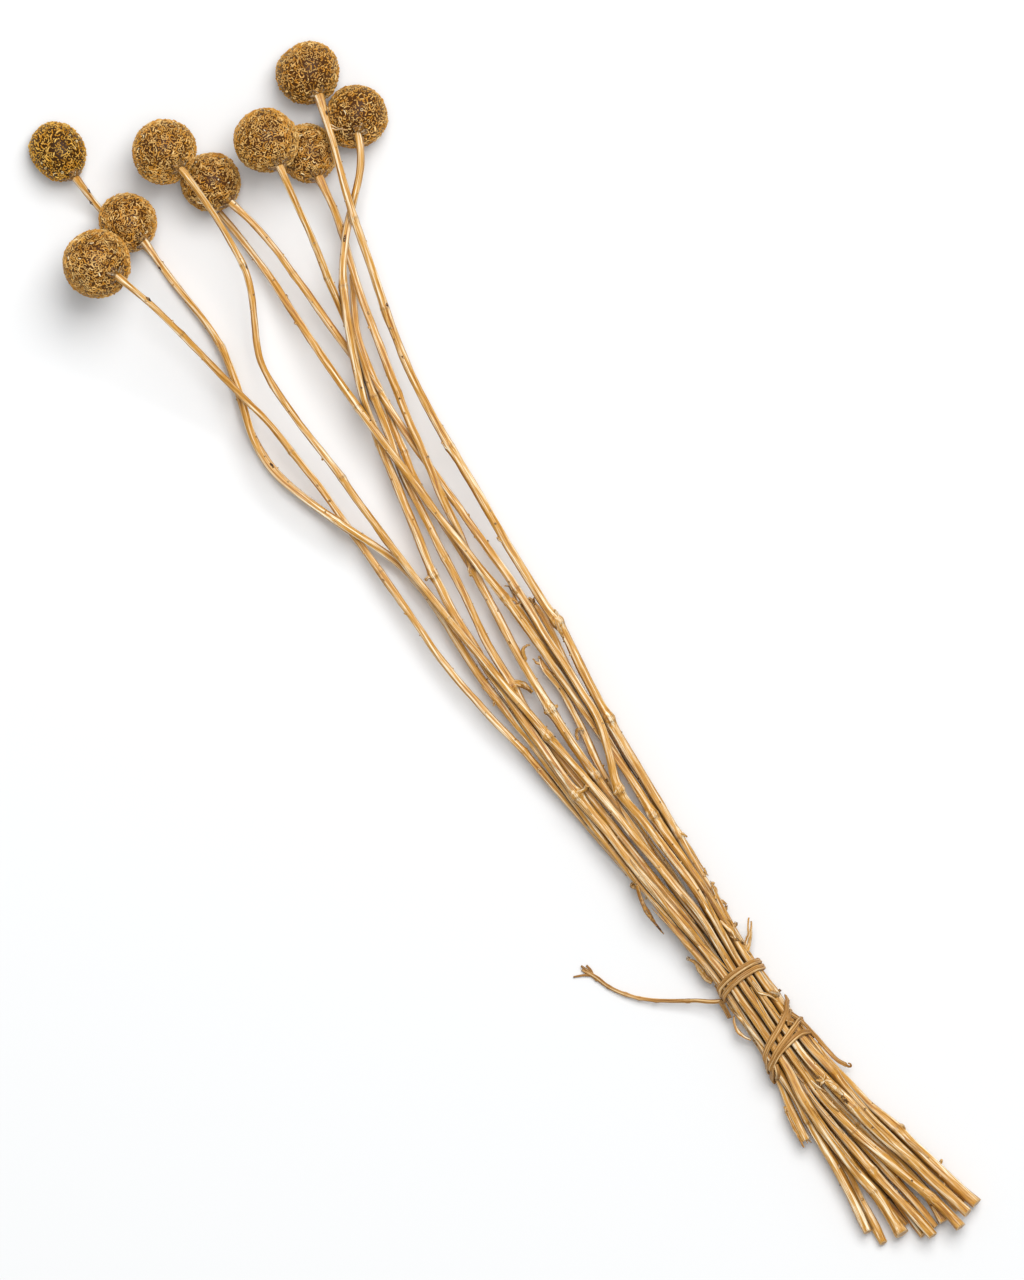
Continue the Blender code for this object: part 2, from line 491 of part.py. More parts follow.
def floret_ball(name, head, seed):
    """A ball of pointed six-sided florets with valleys between them, flat where it rests."""
    centre, across, along, _ = HEADS[head]
    neck, _ = neck_points(head)
    rng = np.random.default_rng(seed)
    turn = math.pi * (3 - math.sqrt(5))
    form = bmesh.new()
    for i in range(FLORETS):
        level = 1 - 2 * (i + 0.5) / FLORETS
        ring = math.sqrt(1 - level * level)
        angle = i * turn
        way = Vector((ring * math.cos(angle), ring * math.sin(angle), level))
        way += Vector(rng.normal(0, FLORET_JITTER, 3))
        form.verts.new(way.normalized())
    bmesh.ops.convex_hull(form, input=form.verts)
    sides = list(form.edges)
    valleys = bmesh.ops.poke(form, faces=form.faces)["verts"]
    for vertex in form.verts:
        vertex.co.normalize()
    bmesh.ops.rotate_edges(form, edges=sides, use_ccw=False)
    for vertex in form.verts:
        vertex.co *= 1 + rng.normal(0, 0.012)
    for vertex in valleys:
        vertex.co *= FLORET_VALLEY
    upright = (Vector(centre) - Vector(neck)).to_track_quat("Z", "Y")
    for vertex in form.verts:
        grown = upright @ Vector((vertex.co.x * across, vertex.co.y * across, vertex.co.z * along))
        vertex.co = (grown + Vector(centre)) * MM
        vertex.co.z = max(vertex.co.z, 0)
    bmesh.ops.recalc_face_normals(form, faces=form.faces)
    mesh = bpy.data.meshes.new(name)
    form.to_mesh(mesh)
    form.free()
    return bpy.data.objects.new(name, mesh)


def neck_socket(name, middles, radii):
    """The cutter for a neck's hole: the neck's own line, wider by the gap and longer at its end."""
    points = middles[-4:].copy()
    end = points[-1] - points[-2]
    points[-1] += GAP * 1.5 * end / np.linalg.norm(end)
    return tube(name, points, (radii[-4:] + GAP) / math.cos(math.pi / 8), 2)


def make_head(head, settled, seed):
    stem = head.replace("head", "stem")
    middles, radii = stem_rings(stem, settled[stem])
    ball = floret_ball(head, head, seed)
    return combined(ball, [neck_socket(head + "_socket", middles, radii)], "DIFFERENCE")


def make_stem(stem, settled):
    """One stem with the twigs and leaf remains that grow on it."""
    line = settled[stem]
    middles, radii = stem_rings(stem, line)
    body = tube(stem, middles, radii, 1)
    twigs = []
    for owner, place, steps, root, tip in TWIGS:
        if owner != stem:
            continue
        start = np.array((np.interp(place, line[0], line[1]), place, np.interp(place, line[0], line[2])))
        points = [start, *(start + np.array(step) for step in steps)]
        twigs.append(tube(stem + "_twig", points, np.linspace(root, tip, len(points)), 0))
    return combined(body, twigs, "UNION") if twigs else body


def wound(knots, settled):
    """A strand's middle line, wound round the outside of the stems at each turn angle."""
    turns, places, lifts = (np.array(row, float) for row in zip(*knots))
    if turns[0] > turns[-1]:
        turns, places, lifts = turns[::-1], places[::-1], lifts[::-1]
    steps = math.ceil((turns[-1] - turns[0]) / STRAND_STEP)
    points = []
    for turn in np.linspace(turns[0], turns[-1], steps + 1):
        place = smooth_value(list(zip(turns, places)), turn)
        out = np.array((math.cos(math.radians(turn)), math.sin(math.radians(turn))))
        reach = []
        for stem, (along, across, height) in settled.items():
            if along[0] < place < along[-1]:
                middle = np.array((np.interp(place, along, across), np.interp(place, along, height)))
                radius = float(stem_radius(stem, place))
                reach.append((float(middle @ out) + radius, middle, radius))
        _, middle, radius = max(reach, key=lambda found: found[0])
        lift = STRAND_RADIUS + STRAND_CLEARANCE + np.interp(turn, turns, lifts)
        x, z = middle + out * (radius + lift)
        if z < STRAND_FOOT + STRAND_SAG:
            z = STRAND_FOOT
        points.append((x, place, z))
    return np.array(points)


def smooth_route(points, spacing):
    """A smooth line through a few points in space, read about every spacing."""
    points = np.array(points, float)
    run = np.concatenate(((0,), np.cumsum(np.linalg.norm(np.diff(points, axis=0), axis=1))))
    at = np.linspace(0, run[-1], math.ceil(run[-1] / spacing) + 1)
    return np.column_stack([smooth_value(list(zip(run, row)), at) for row in points.T])


def flattened_foot(body):
    """A strand pressed flat where it lies on the surface."""
    for vertex in body.data.vertices:
        if vertex.co.z < FOOT_BAND * MM:
            vertex.co.z = 0
    return body


def make_tie_1(settled):
    """The upper binding: two turns, its long tail and its short end."""
    turns = wound(TIE_1_TURNS, settled)[::-1]
    tail = smooth_route((*TIE_1_TAIL, turns[0]), TIE_STEP)[:-1]
    tail_radii = np.interp(np.arange(len(tail)), (0, 2, 6), (0.45, 0.85, 0.75))
    radii = np.concatenate((tail_radii, np.full(len(turns), STRAND_RADIUS)))
    body = tube("tie_1", np.concatenate((tail, turns)), radii, 1)
    end = tube("tie_1_end", smooth_route(TIE_1_SHORT_END, TIE_STEP), LOOSE_RADIUS, 1)
    return flattened_foot(combined(body, [end], "UNION"))


def make_tie_2(settled):
    """The lower binding: two slanting turns, a turn across them and its loose end."""
    body = tube("tie_2", wound(TIE_2_TURNS, settled), STRAND_RADIUS, 1)
    crossing = tube("tie_2_crossing", wound(TIE_2_CROSSING, settled), STRAND_RADIUS, 1)
    loose = tube("tie_2_loose", smooth_route(TIE_2_LOOSE_END, TIE_STEP), LOOSE_RADIUS, 1)
    return flattened_foot(combined(body, [crossing, loose], "UNION"))


def smooth_shaded(body, degrees):
    body.data.shade_smooth()
    body.data.set_sharp_from_angle(angle=math.radians(degrees))


def main():
    for old in list(bpy.data.objects):
        bpy.data.objects.remove(old)
    bunch = bpy.data.collections.new("dried_craspedia_bunch")
    bpy.context.scene.collection.children.link(bunch)
    floret = material("dried_floret", (0.36, 0.20, 0.06), 0.85)
    dark_floret = material("dark_dried_floret", (0.20, 0.12, 0.045), 0.88)
    straw = material("dried_stem", (0.62, 0.40, 0.15), 0.6)
    stalk = material("split_stalk", (0.38, 0.20, 0.06), 0.65)

    settled = settle(drawn_lines())
    made = []
    for seed, head in enumerate(HEADS):
        made.append((make_head(head, settled, seed), dark_floret if head == "head_1" else floret))
    for stem in STEMS:
        made.append((make_stem(stem, settled), straw))
    made.append((make_tie_1(settled), stalk))
    made.append((make_tie_2(settled), stalk))

    corners = np.array([v.co for body, _ in made for v in body.data.vertices])
    middle = (corners.min(axis=0) + corners.max(axis=0)) / 2
    origin = bpy.data.objects.new("bunch_origin", None)
    origin.location = (-middle[0], -middle[1], 0)
    bunch.objects.link(origin)
    for body, surface in made:
        bunch.objects.link(body)
        body.parent = origin
        body.data.materials.clear()
        body.data.materials.append(surface)
        smooth_shaded(body, 40)


main()
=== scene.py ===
import json
import math

import bmesh
import bpy
import numpy as np
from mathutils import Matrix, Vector

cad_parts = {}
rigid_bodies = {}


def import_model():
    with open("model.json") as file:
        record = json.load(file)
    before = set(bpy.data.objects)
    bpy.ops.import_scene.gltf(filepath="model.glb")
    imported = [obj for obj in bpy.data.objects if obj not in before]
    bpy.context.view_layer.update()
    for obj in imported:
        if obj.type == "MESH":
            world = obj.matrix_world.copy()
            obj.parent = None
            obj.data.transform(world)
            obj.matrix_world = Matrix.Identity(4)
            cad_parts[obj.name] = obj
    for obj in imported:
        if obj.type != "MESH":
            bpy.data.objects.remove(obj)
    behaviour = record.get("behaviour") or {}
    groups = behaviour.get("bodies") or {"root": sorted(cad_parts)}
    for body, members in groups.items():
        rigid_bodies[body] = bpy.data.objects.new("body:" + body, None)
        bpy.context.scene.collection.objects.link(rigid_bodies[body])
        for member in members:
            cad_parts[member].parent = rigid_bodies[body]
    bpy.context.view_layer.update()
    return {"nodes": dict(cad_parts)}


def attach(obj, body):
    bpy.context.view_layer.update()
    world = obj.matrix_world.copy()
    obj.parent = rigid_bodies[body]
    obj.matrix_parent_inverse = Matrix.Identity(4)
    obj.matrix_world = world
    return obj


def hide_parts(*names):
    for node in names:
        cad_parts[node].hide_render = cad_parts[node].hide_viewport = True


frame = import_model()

# Seeds of the random draws. Each stem adds its number to the first, and each head to the second.
STEM_SEED = 100
HEAD_SEED = 200
BINDING_SEED = 300
BARK_SEED = 400

# Places are in the bunch's own millimetres: across, along from the upper binding to the heads, height.
MM = 0.001
BUNCH_MIDDLE = np.array((5.2546, 146.7518, 0.0))
BUNCH_TURN = math.radians(34)

# Heads: middle, half width, half length, and the place across and along where the neck goes in.
HEADS = {
    "head_1": ((-39.4, 406.4, 8.3), 9.8, 11.8, (-39.4, 396.3)),
    "head_2": ((-32.4, 369.2, 15.6), 10.9, 11.8, (-31.4, 360.4)),
    "head_3": ((-51.0, 362.6, 29.6), 12.8, 12.8, (-47.2, 354.8)),
    "head_4": ((-6.2, 383.7, 22.4), 12.6, 11.7, (-4.4, 374.9)),
    "head_5": ((2.2, 364.5, 9.65), 11.2, 11.6, (3.9, 354.3)),
    "head_6": ((28.7, 365.2, 27.6), 12.5, 12.2, (27.4, 354.8)),
    "head_7": ((39.3, 352.8, 9.15), 10.6, 11.7, (37.6, 344.0)),
    "head_8": ((56.2, 378.2, 12.6), 11.9, 11.6, (54.9, 369.0)),
    "head_9": ((62.4, 354.2, 10.05), 11.7, 12.4, (59.2, 348.7)),
}
STEMS = tuple("stem_%d" % i for i in range(1, 10)) + tuple("bare_stem_%d" % i for i in range(1, 6))

# Swollen leaf scars: places along each stem.
SCARS = {
    "stem_1": (-66, 76, 178), "stem_2": (-58, 24, 140, 231, 310), "stem_3": (52, 118, 205, 262, 322),
    "stem_4": (-109, -72, 118, 176, 243, 331), "stem_5": (-64, 86, 171, 262, 318),
    "stem_6": (-88, 141.5, 196, 262, 309), "stem_7": (-70, 95.5, 126, 187, 258, 321),
    "stem_8": (-80, 110.5, 152, 230, 287, 322), "stem_9": (-95, 93.5, 193.5, 246, 303),
    "bare_stem_1": (-48, 71, 171, 262), "bare_stem_2": (-60, 141, 238), "bare_stem_3": (56, 121),
    "bare_stem_4": (-94, 104), "bare_stem_5": (-36, 101),
}
# Side growth: stem, place along, steps from its middle as (across, along, height), root and tip radius.
TWIGS = (
    ("stem_7", 126.0, ((-2.5, 0.0, 0.7),), 0.95, 0.7),
    ("stem_7", 125.8, ((2.6, -0.2, 0.7),), 0.95, 0.7),
    ("stem_7", 147.0, ((1.6, 0.2, 1.4), (2.0, 2.4, 2.4), (3.4, 4.0, 2.8), (5.8, 3.8, 2.6)), 0.75, 0.5),
    ("stem_7", 187.0, ((-1.6, 0.3, 1.2), (-2.4, -1.8, 1.4)), 0.85, 0.6),
    ("stem_6", 141.5, ((1.4, 0.0, 1.2), (2.9, -1.6, 1.8), (4.2, -4.2, 1.4), (4.6, -6.2, 1.0)), 1.0, 0.5),
    ("stem_9", 193.5, ((-2.1, 0.0, 0.7), (-3.6, -0.2, 0.9)), 0.85, 0.65),
    ("stem_9", 93.5, ((1.6, 0.2, 1.6), (3.6, 0.0, 2.0), (5.4, 0.6, 2.0)), 1.1, 0.85),
    ("stem_8", 230.0, ((-1.2, 0.3, 1.0), (-1.7, 3.0, 1.3)), 0.8, 0.5),
    ("stem_8", 189.0, ((-1.3, 0.2, 0.9), (-1.9, 2.4, 1.1)), 0.75, 0.45),
    ("stem_8", 152.0, ((1.3, 1.0, 1.0), (1.9, 4.4, 1.4)), 0.75, 0.45),
    ("stem_8", 59.0, ((1.4, 0.0, 1.2), (2.6, -2.2, 0.9)), 0.7, 0.45),
    ("stem_8", 36.0, ((1.8, 0.2, 0.7), (2.5, 0.9, 0.8)), 0.8, 0.6),
    ("stem_8", 28.5, ((1.8, 0.6, 0.8), (2.6, -1.2, 0.8)), 0.8, 0.55),
    ("stem_8", -80.0, ((2.1, 0.5, 0.8), (2.7, -1.8, 0.9)), 0.9, 0.55),
    ("stem_8", -100.0, ((2.1, 0.0, 0.6), (3.1, 0.9, 0.9)), 0.65, 0.45),
    ("stem_3", 52.0, ((-1.3, 0.0, 0.9), (-2.6, 0.7, 1.2)), 0.8, 0.6),
    ("stem_3", 46.5, ((-1.3, 0.0, 0.7), (-2.2, -0.4, 0.8)), 0.8, 0.5),
    ("stem_3", -50.0, ((-1.7, 0.0, 0.7), (-2.6, -1.2, 0.9)), 0.75, 0.5),
    ("stem_5", 86.0, ((-1.2, 0.2, 1.4), (-2.4, -0.5, 1.6)), 0.95, 0.7),
    ("stem_2", 140.0, ((-1.3, 0.0, 0.8), (-2.2, -0.8, 0.9)), 0.7, 0.5),
    ("bare_stem_3", 167.0, ((-0.6, 1.6, 0.5), (-1.9, 2.9, 0.8), (-2.6, 4.6, 0.6)), 0.7, 0.35),
    ("bare_stem_3", 166.5, ((0.3, 2.4, 0.3), (0.8, 4.8, 0.5), (0.6, 7.2, 0.4), (-0.4, 8.0, 0.4)),
     0.65, 0.35),
    ("stem_8", 358.0, ((1.2, -2.2, 0.9), (3.2, -5.0, 1.0), (4.9, -6.6, 0.8)), 0.4, 0.22),
    ("stem_8", 356.5, ((1.9, -2.4, 0.9), (4.2, -3.4, 0.9)), 0.35, 0.2),
    ("bare_stem_4", 136.5, ((0.3, 3.0, 0.5), (0.5, 8.5, 0.8)), 0.85, 0.5),
    ("bare_stem_4", 142.0, ((-1.2, 1.4, 0.2), (-1.6, 3.4, 0.1)), 0.6, 0.3),
    ("bare_stem_5", 158.0, ((0.1, 3.0, 0.3), (-0.3, 7.5, 0.4)), 0.9, 0.6),
)
# Dark scars on the upper stems: stem, place along, and turn from its right over its top in radians.
MARKS = (
    ("stem_1", 387.6, 0.8), ("stem_1", 383.3, 2.4), ("stem_3", 340.3, 0.7), ("stem_8", 361.4, 0.9),
    ("stem_2", 348.0, 2.3), ("stem_5", 352.0, 1.2), ("stem_7", 322.0, 0.8), ("stem_9", 318.0, 1.9),
    ("stem_4", 330.0, 0.9), ("stem_6", 296.0, 1.3), ("stem_2", 262.0, 1.0), ("stem_8", 288.0, 0.9),
)
# Stout nodes: stem, place along, and how much wider than the stem.
NODES = (
    ("stem_9", 93.5, 0.42), ("stem_7", 126.0, 0.3), ("stem_8", 152.0, 0.3), ("stem_5", 86.0, 0.35),
    ("stem_8", 110.5, 0.28), ("stem_7", 95.5, 0.25), ("stem_4", 118.0, 0.2), ("stem_8", 59.0, 0.3),
    ("stem_8", 30.0, 0.25), ("stem_6", 141.5, 0.3), ("bare_stem_1", 71.0, 0.25), ("stem_9", 193.5, 0.2),
    ("stem_6", -50.0, 0.3), ("stem_8", -11.0, 0.25), ("stem_2", -58.0, 0.2), ("stem_3", 48.0, 0.25),
)

# Bindings of split stalk: turn in degrees (0 right, 90 top, 180 left), place along, lift over a strand.
STRAND_RADIUS = 0.85
STRAND_CLEARANCE = 0.3
STRAND_FOOT = 0.62  # height of a strand's middle where it lies on the surface
STRAND_SAG = 0.6  # a strand that comes this near to that height rests on the surface
TIE_1_TURNS = ((180, -2.6, 0), (150, -1.6, 0), (90, 1.2, 0), (30, 0.2, 0), (0, -0.4, 0), (-90, 0.3, 0),
               (-150, -0.4, 0), (-180, -0.2, 0), (-210, 1.6, 0), (-270, 3.8, 0), (-330, 2.9, 0),
               (-360, 2.3, 0), (-450, 2.7, 0), (-500, 2.9, 0))
TIE_1_TAIL = ((-48.3, 37.2, 0.9), (-45.6, 32.0, 1.0), (-43.6, 26.5, 1.2), (-39.8, 20.0, 1.8),
              (-34.6, 14.6, 2.6), (-27.0, 8.6, 3.9), (-19.0, 3.4, 5.3), (-13.4, -0.9, 6.8))
TIE_1_SHORT_END = ((-11.4, -1.8, 7.8), (-11.4, -5.0, 7.2), (-11.8, -9.4, 6.0))
TIE_2_TURNS = ((-20, -14.5, 0), (20, -16.5, 0), (60, -20.0, 0), (90, -23.3, 0), (130, -28.5, 0),
               (160, -32.0, 0), (180, -33.8, 0), (270, -33.4, 0), (340, -32.2, 0), (360, -31.6, 0),
               (400, -29.6, 0), (430, -28.9, 0), (450, -29.8, 0), (490, -33.4, 0), (520, -36.4, 0),
               (540, -38.0, 0), (630, -37.4, 0), (690, -36.8, 0))
TIE_2_CROSSING = ((-50, -24.4, 0), (0, -25.3, 0), (30, -24.7, 0.1), (60, -25.4, 0.6), (90, -28.0, 1.1),
                  (120, -31.8, 1.1), (145, -34.2, 0.8))
TIE_2_LOOSE_END = ((8.4, -19.0, 12.2), (10.6, -24.0, 10.9), (12.0, -31.5, 9.6), (13.0, -40.0, 8.2),
                   (14.2, -46.0, 7.4), (14.8, -49.0, 6.6))


def placed(points):
    """Bunch millimetres as metres in the frame."""
    return (np.asarray(points, float) - BUNCH_MIDDLE) * MM


def spots_of(mesh):
    """A mesh's points in bunch millimetres."""
    spots = np.empty(len(mesh.vertices) * 3)
    mesh.vertices.foreach_get("co", spots)
    return spots.reshape(-1, 3) / MM + BUNCH_MIDDLE


def keep_values(mesh, label, values):
    """Keeps a number or a direction at each point of a mesh."""
    values = np.asarray(values, np.float32)
    if values.ndim == 1:
        mesh.attributes.new(label, "FLOAT", "POINT").data.foreach_set("value", values)
    else:
        mesh.attributes.new(label, "FLOAT_VECTOR", "POINT").data.foreach_set("vector", values.ravel())


def new_object(name, data):
    """A new object in the scene."""
    made = bpy.data.objects.new(name, data)
    bpy.context.scene.collection.objects.link(made)
    return made


def linear(hexed):
    """An sRGB hex colour as linear red, green, blue and full alpha."""
    parts = [int(hexed[i : i + 2], 16) / 255 for i in (1, 3, 5)]
    return (*(c / 12.92 if c <= 0.04045 else ((c + 0.055) / 1.055) ** 2.4 for c in parts), 1.0)


def node(tree, kind, inputs=None, **settings):
    """Adds a node with its settings and fills or links its inputs, also straight from another node."""
    made = tree.nodes.new(kind)
    for key, value in settings.items():
        setattr(made, key, value)
    for key, value in (inputs or {}).items():
        if isinstance(value, bpy.types.Node):
            value = next(socket for socket in value.outputs if socket.enabled)
        if isinstance(value, bpy.types.NodeSocket):
            tree.links.new(value, made.inputs[key])
        else:
            made.inputs[key].default_value = value
    return made


# Lines and curves.


def unit(ways):
    """The same directions, each one long."""
    return ways / np.linalg.norm(ways, axis=-1, keepdims=True)


def run_along(points):
    """How far along a line each of its points lies."""
    return np.concatenate(((0,), np.cumsum(np.linalg.norm(np.diff(points, axis=0), axis=1))))


def bulge(places, middle, width):
    """A smooth swelling round a place, one high."""
    return np.exp(-(((places - middle) / width) ** 2))


def smooth_value(knots, at):
    """A cubic through (place, value) knots, read at each place in at."""
    places, values = np.array(knots, float).T
    slopes = np.gradient(values, places)
    i = np.clip(np.searchsorted(places, at, side="right") - 1, 0, len(places) - 2)
    span = places[i + 1] - places[i]
    t = (at - places[i]) / span
    start = (1 + 2 * t) * (1 - t) ** 2 * values[i] + t * (1 - t) ** 2 * span * slopes[i]
    end = t * t * (3 - 2 * t) * values[i + 1] + t * t * (t - 1) * span * slopes[i + 1]
    return start + end


def smooth_route(points, spacing):
    """A smooth line through a few points in space, read about every spacing."""
    points = np.array(points, float)
    run = run_along(points)
    at = np.linspace(0, run[-1], max(math.ceil(run[-1] / spacing), 2) + 1)
    return np.column_stack([smooth_value(list(zip(run, row)), at) for row in points.T])


def softened(values, reach):
    """Values averaged with their neighbours, with the two ends held."""
    window = np.exp(-0.5 * (np.arange(-3 * reach, 3 * reach + 1) / reach) ** 2)
    window = window / window.sum()
    before = 2 * values[0] - values[3 * reach : 0 : -1]
    after = 2 * values[-1] - values[-2 : -3 * reach - 2 : -1]
    return np.convolve(np.concatenate((before, values, after)), window, mode="valid")


# The stems' middle lines, read from the CAD stems by slicing them across the bunch.

SLICE = 1.0
FIRST_SLICE = 1.1  # from the butt end, so that the cut face is left out
SLIVER = 0.2  # an outline smaller than this is left out
LONGEST_STEP = 2.5  # a middle that jumps further than this is a twig's
USUAL_REACH = 14  # slices on each side that tell how thick the stem is without scars
PLAIN_AREA = (0.8, 1.22)  # against the usual one; beyond these a scar or a twig is in the slice
HEXAGON_AREA = 2.598  # of a ring of six corners, one in radius


def outline_loops(corners, faces, place):
    """The closed outlines where the plane at this place along cuts the mesh: (area, middle) of each."""
    past = corners[:, 1] > place
    hit = past[faces]
    crossed = faces[hit.any(1) & ~hit.all(1)]
    beside = {}
    points = {}
    for face in crossed:
        ends = []
        for a, b in ((face[0], face[1]), (face[1], face[2]), (face[2], face[0])):
            if past[a] == past[b]:
                continue
            key = (min(a, b), max(a, b))
            if key not in points:
                share = (place - corners[key[0], 1]) / (corners[key[1], 1] - corners[key[0], 1])
                points[key] = corners[key[0]] + share * (corners[key[1]] - corners[key[0]])
            ends.append(key)
        for one, other in (ends, ends[::-1]):
            beside.setdefault(one, []).append(other)
    loops = []
    left = set(points)
    while left:
        here = left.pop()
        ring = [points[here]]
        while True:
            onward = [key for key in beside[here] if key in left]
            if not onward:
                break
            here = onward[0]
            left.discard(here)
            ring.append(points[here])
        x, _, z = np.array(ring).T
        turn = x * np.roll(z, -1) - np.roll(x, -1) * z
        area = turn.sum() / 2
        if abs(area) > SLIVER:
            across = ((x + np.roll(x, -1)) * turn).sum() / (6 * area)
            height = ((z + np.roll(z, -1)) * turn).sum() / (6 * area)
            loops.append((abs(area), np.array((across, height))))
    return loops


def stem_line(stem):
    """One stem's places along, across and height of its middle, and its radius without scars or twigs."""
    body = frame["nodes"][stem].data
    corners = spots_of(body)
    faces = np.array([tuple(face.vertices) for face in body.polygons])
    _, first, merged = np.unique(np.round(corners, 3), axis=0, return_index=True, return_inverse=True)
    corners = corners[first]
    faces = merged.reshape(-1)[faces]
    along, areas, middles = [], [], []
    for place in np.arange(corners[:, 1].min() + FIRST_SLICE, corners[:, 1].max(), SLICE):
        # A hair's breadth on, so that the plane meets no corner.
        loops = outline_loops(corners, faces, place + 1e-5)
        if not loops:
            break
        if middles:
            ahead = middles[-1] + (middles[-1] - middles[-2] if len(middles) > 1 else 0)
            area, middle = min(loops, key=lambda loop: np.linalg.norm(loop[1] - ahead))
            if np.linalg.norm(middle - ahead) > LONGEST_STEP:
                break
        else:
            area, middle = max(loops, key=lambda loop: loop[0])
        along.append(place)
        areas.append(area)
        middles.append(middle)
    along = np.array(along)
    areas = np.array(areas)
    middles = np.array(middles)
    spread = np.pad(areas, USUAL_REACH, mode="edge")
    usual = np.array([np.median(spread[i : i + 2 * USUAL_REACH + 1]) for i in range(len(areas))])
    plain = (areas > PLAIN_AREA[0] * usual) & (areas < PLAIN_AREA[1] * usual)
    across, height, area = (
        np.interp(along, along[plain], row[plain]) for row in (middles[:, 0], middles[:, 1], areas))
    across = softened(across, 3)
    height = softened(height, 3)
    slant = 1 / np.sqrt(1 + np.gradient(across, along) ** 2 + np.gradient(height, along) ** 2)
    radius = softened(np.sqrt(area * slant / HEXAGON_AREA), 4)
    return along, across, height, radius


def line_at(line, place):
    """Across, height and radius of a stem's line at places along it."""
    return [np.interp(place, line[0], row) for row in line[1:]]


# Geometry Nodes trees.

# What each guide line of the stalk tree keeps at its points, as numbers and as directions.
STRAND_NUMBERS = ("girth", "cut", "dark", "flat", "shift")
STRAND_WAYS = ("wide", "thin", "slant")
# What the materials read. Everything else is taken off the finished meshes.
SHOWN_VALUES = ("fibre", "ridge", "dark", "cut", "crevice_shade", "rise", "tone")


def new_tree(name, sizes):
    """A geometry tree with a geometry in and out, and one named input for each size."""
    tree = bpy.data.node_groups.new(name, "GeometryNodeTree")
    tree.interface.new_socket("Geometry", in_out="INPUT", socket_type="NodeSocketGeometry")
    tree.interface.new_socket("Geometry", in_out="OUTPUT", socket_type="NodeSocketGeometry")
    for label, kind in sizes.items():
        tree.interface.new_socket(label, in_out="INPUT", socket_type="NodeSocket" + kind)
    return tree, node(tree, "NodeGroupInput").outputs


def pressed_flat(tree, kept, place):
    """How far each point moves to press the stalk flat across its thin way and to slant its cut face."""
    off = node(tree, "ShaderNodeVectorMath", {0: place, 1: kept["middle"]}, operation="SUBTRACT")
    through = node(tree, "ShaderNodeVectorMath", {0: off, 1: kept["thin"]}, operation="DOT_PRODUCT")
    lost = node(tree, "ShaderNodeMath", {0: kept["flat"], 1: 1.0}, operation="SUBTRACT")
    lost = node(tree, "ShaderNodeMath", {0: through, 1: lost}, operation="MULTIPLY")
    pressed = node(tree, "ShaderNodeVectorMath", {0: kept["thin"], "Scale": lost}, operation="SCALE")
    lean = node(tree, "ShaderNodeVectorMath", {0: off, 1: kept["slant"]}, operation="DOT_PRODUCT")
    sheared = node(tree, "ShaderNodeVectorMath", {0: kept["ahead"], "Scale": lean}, operation="SCALE")
    return node(tree, "ShaderNodeVectorMath", {0: pressed, 1: sheared}, operation="ADD")


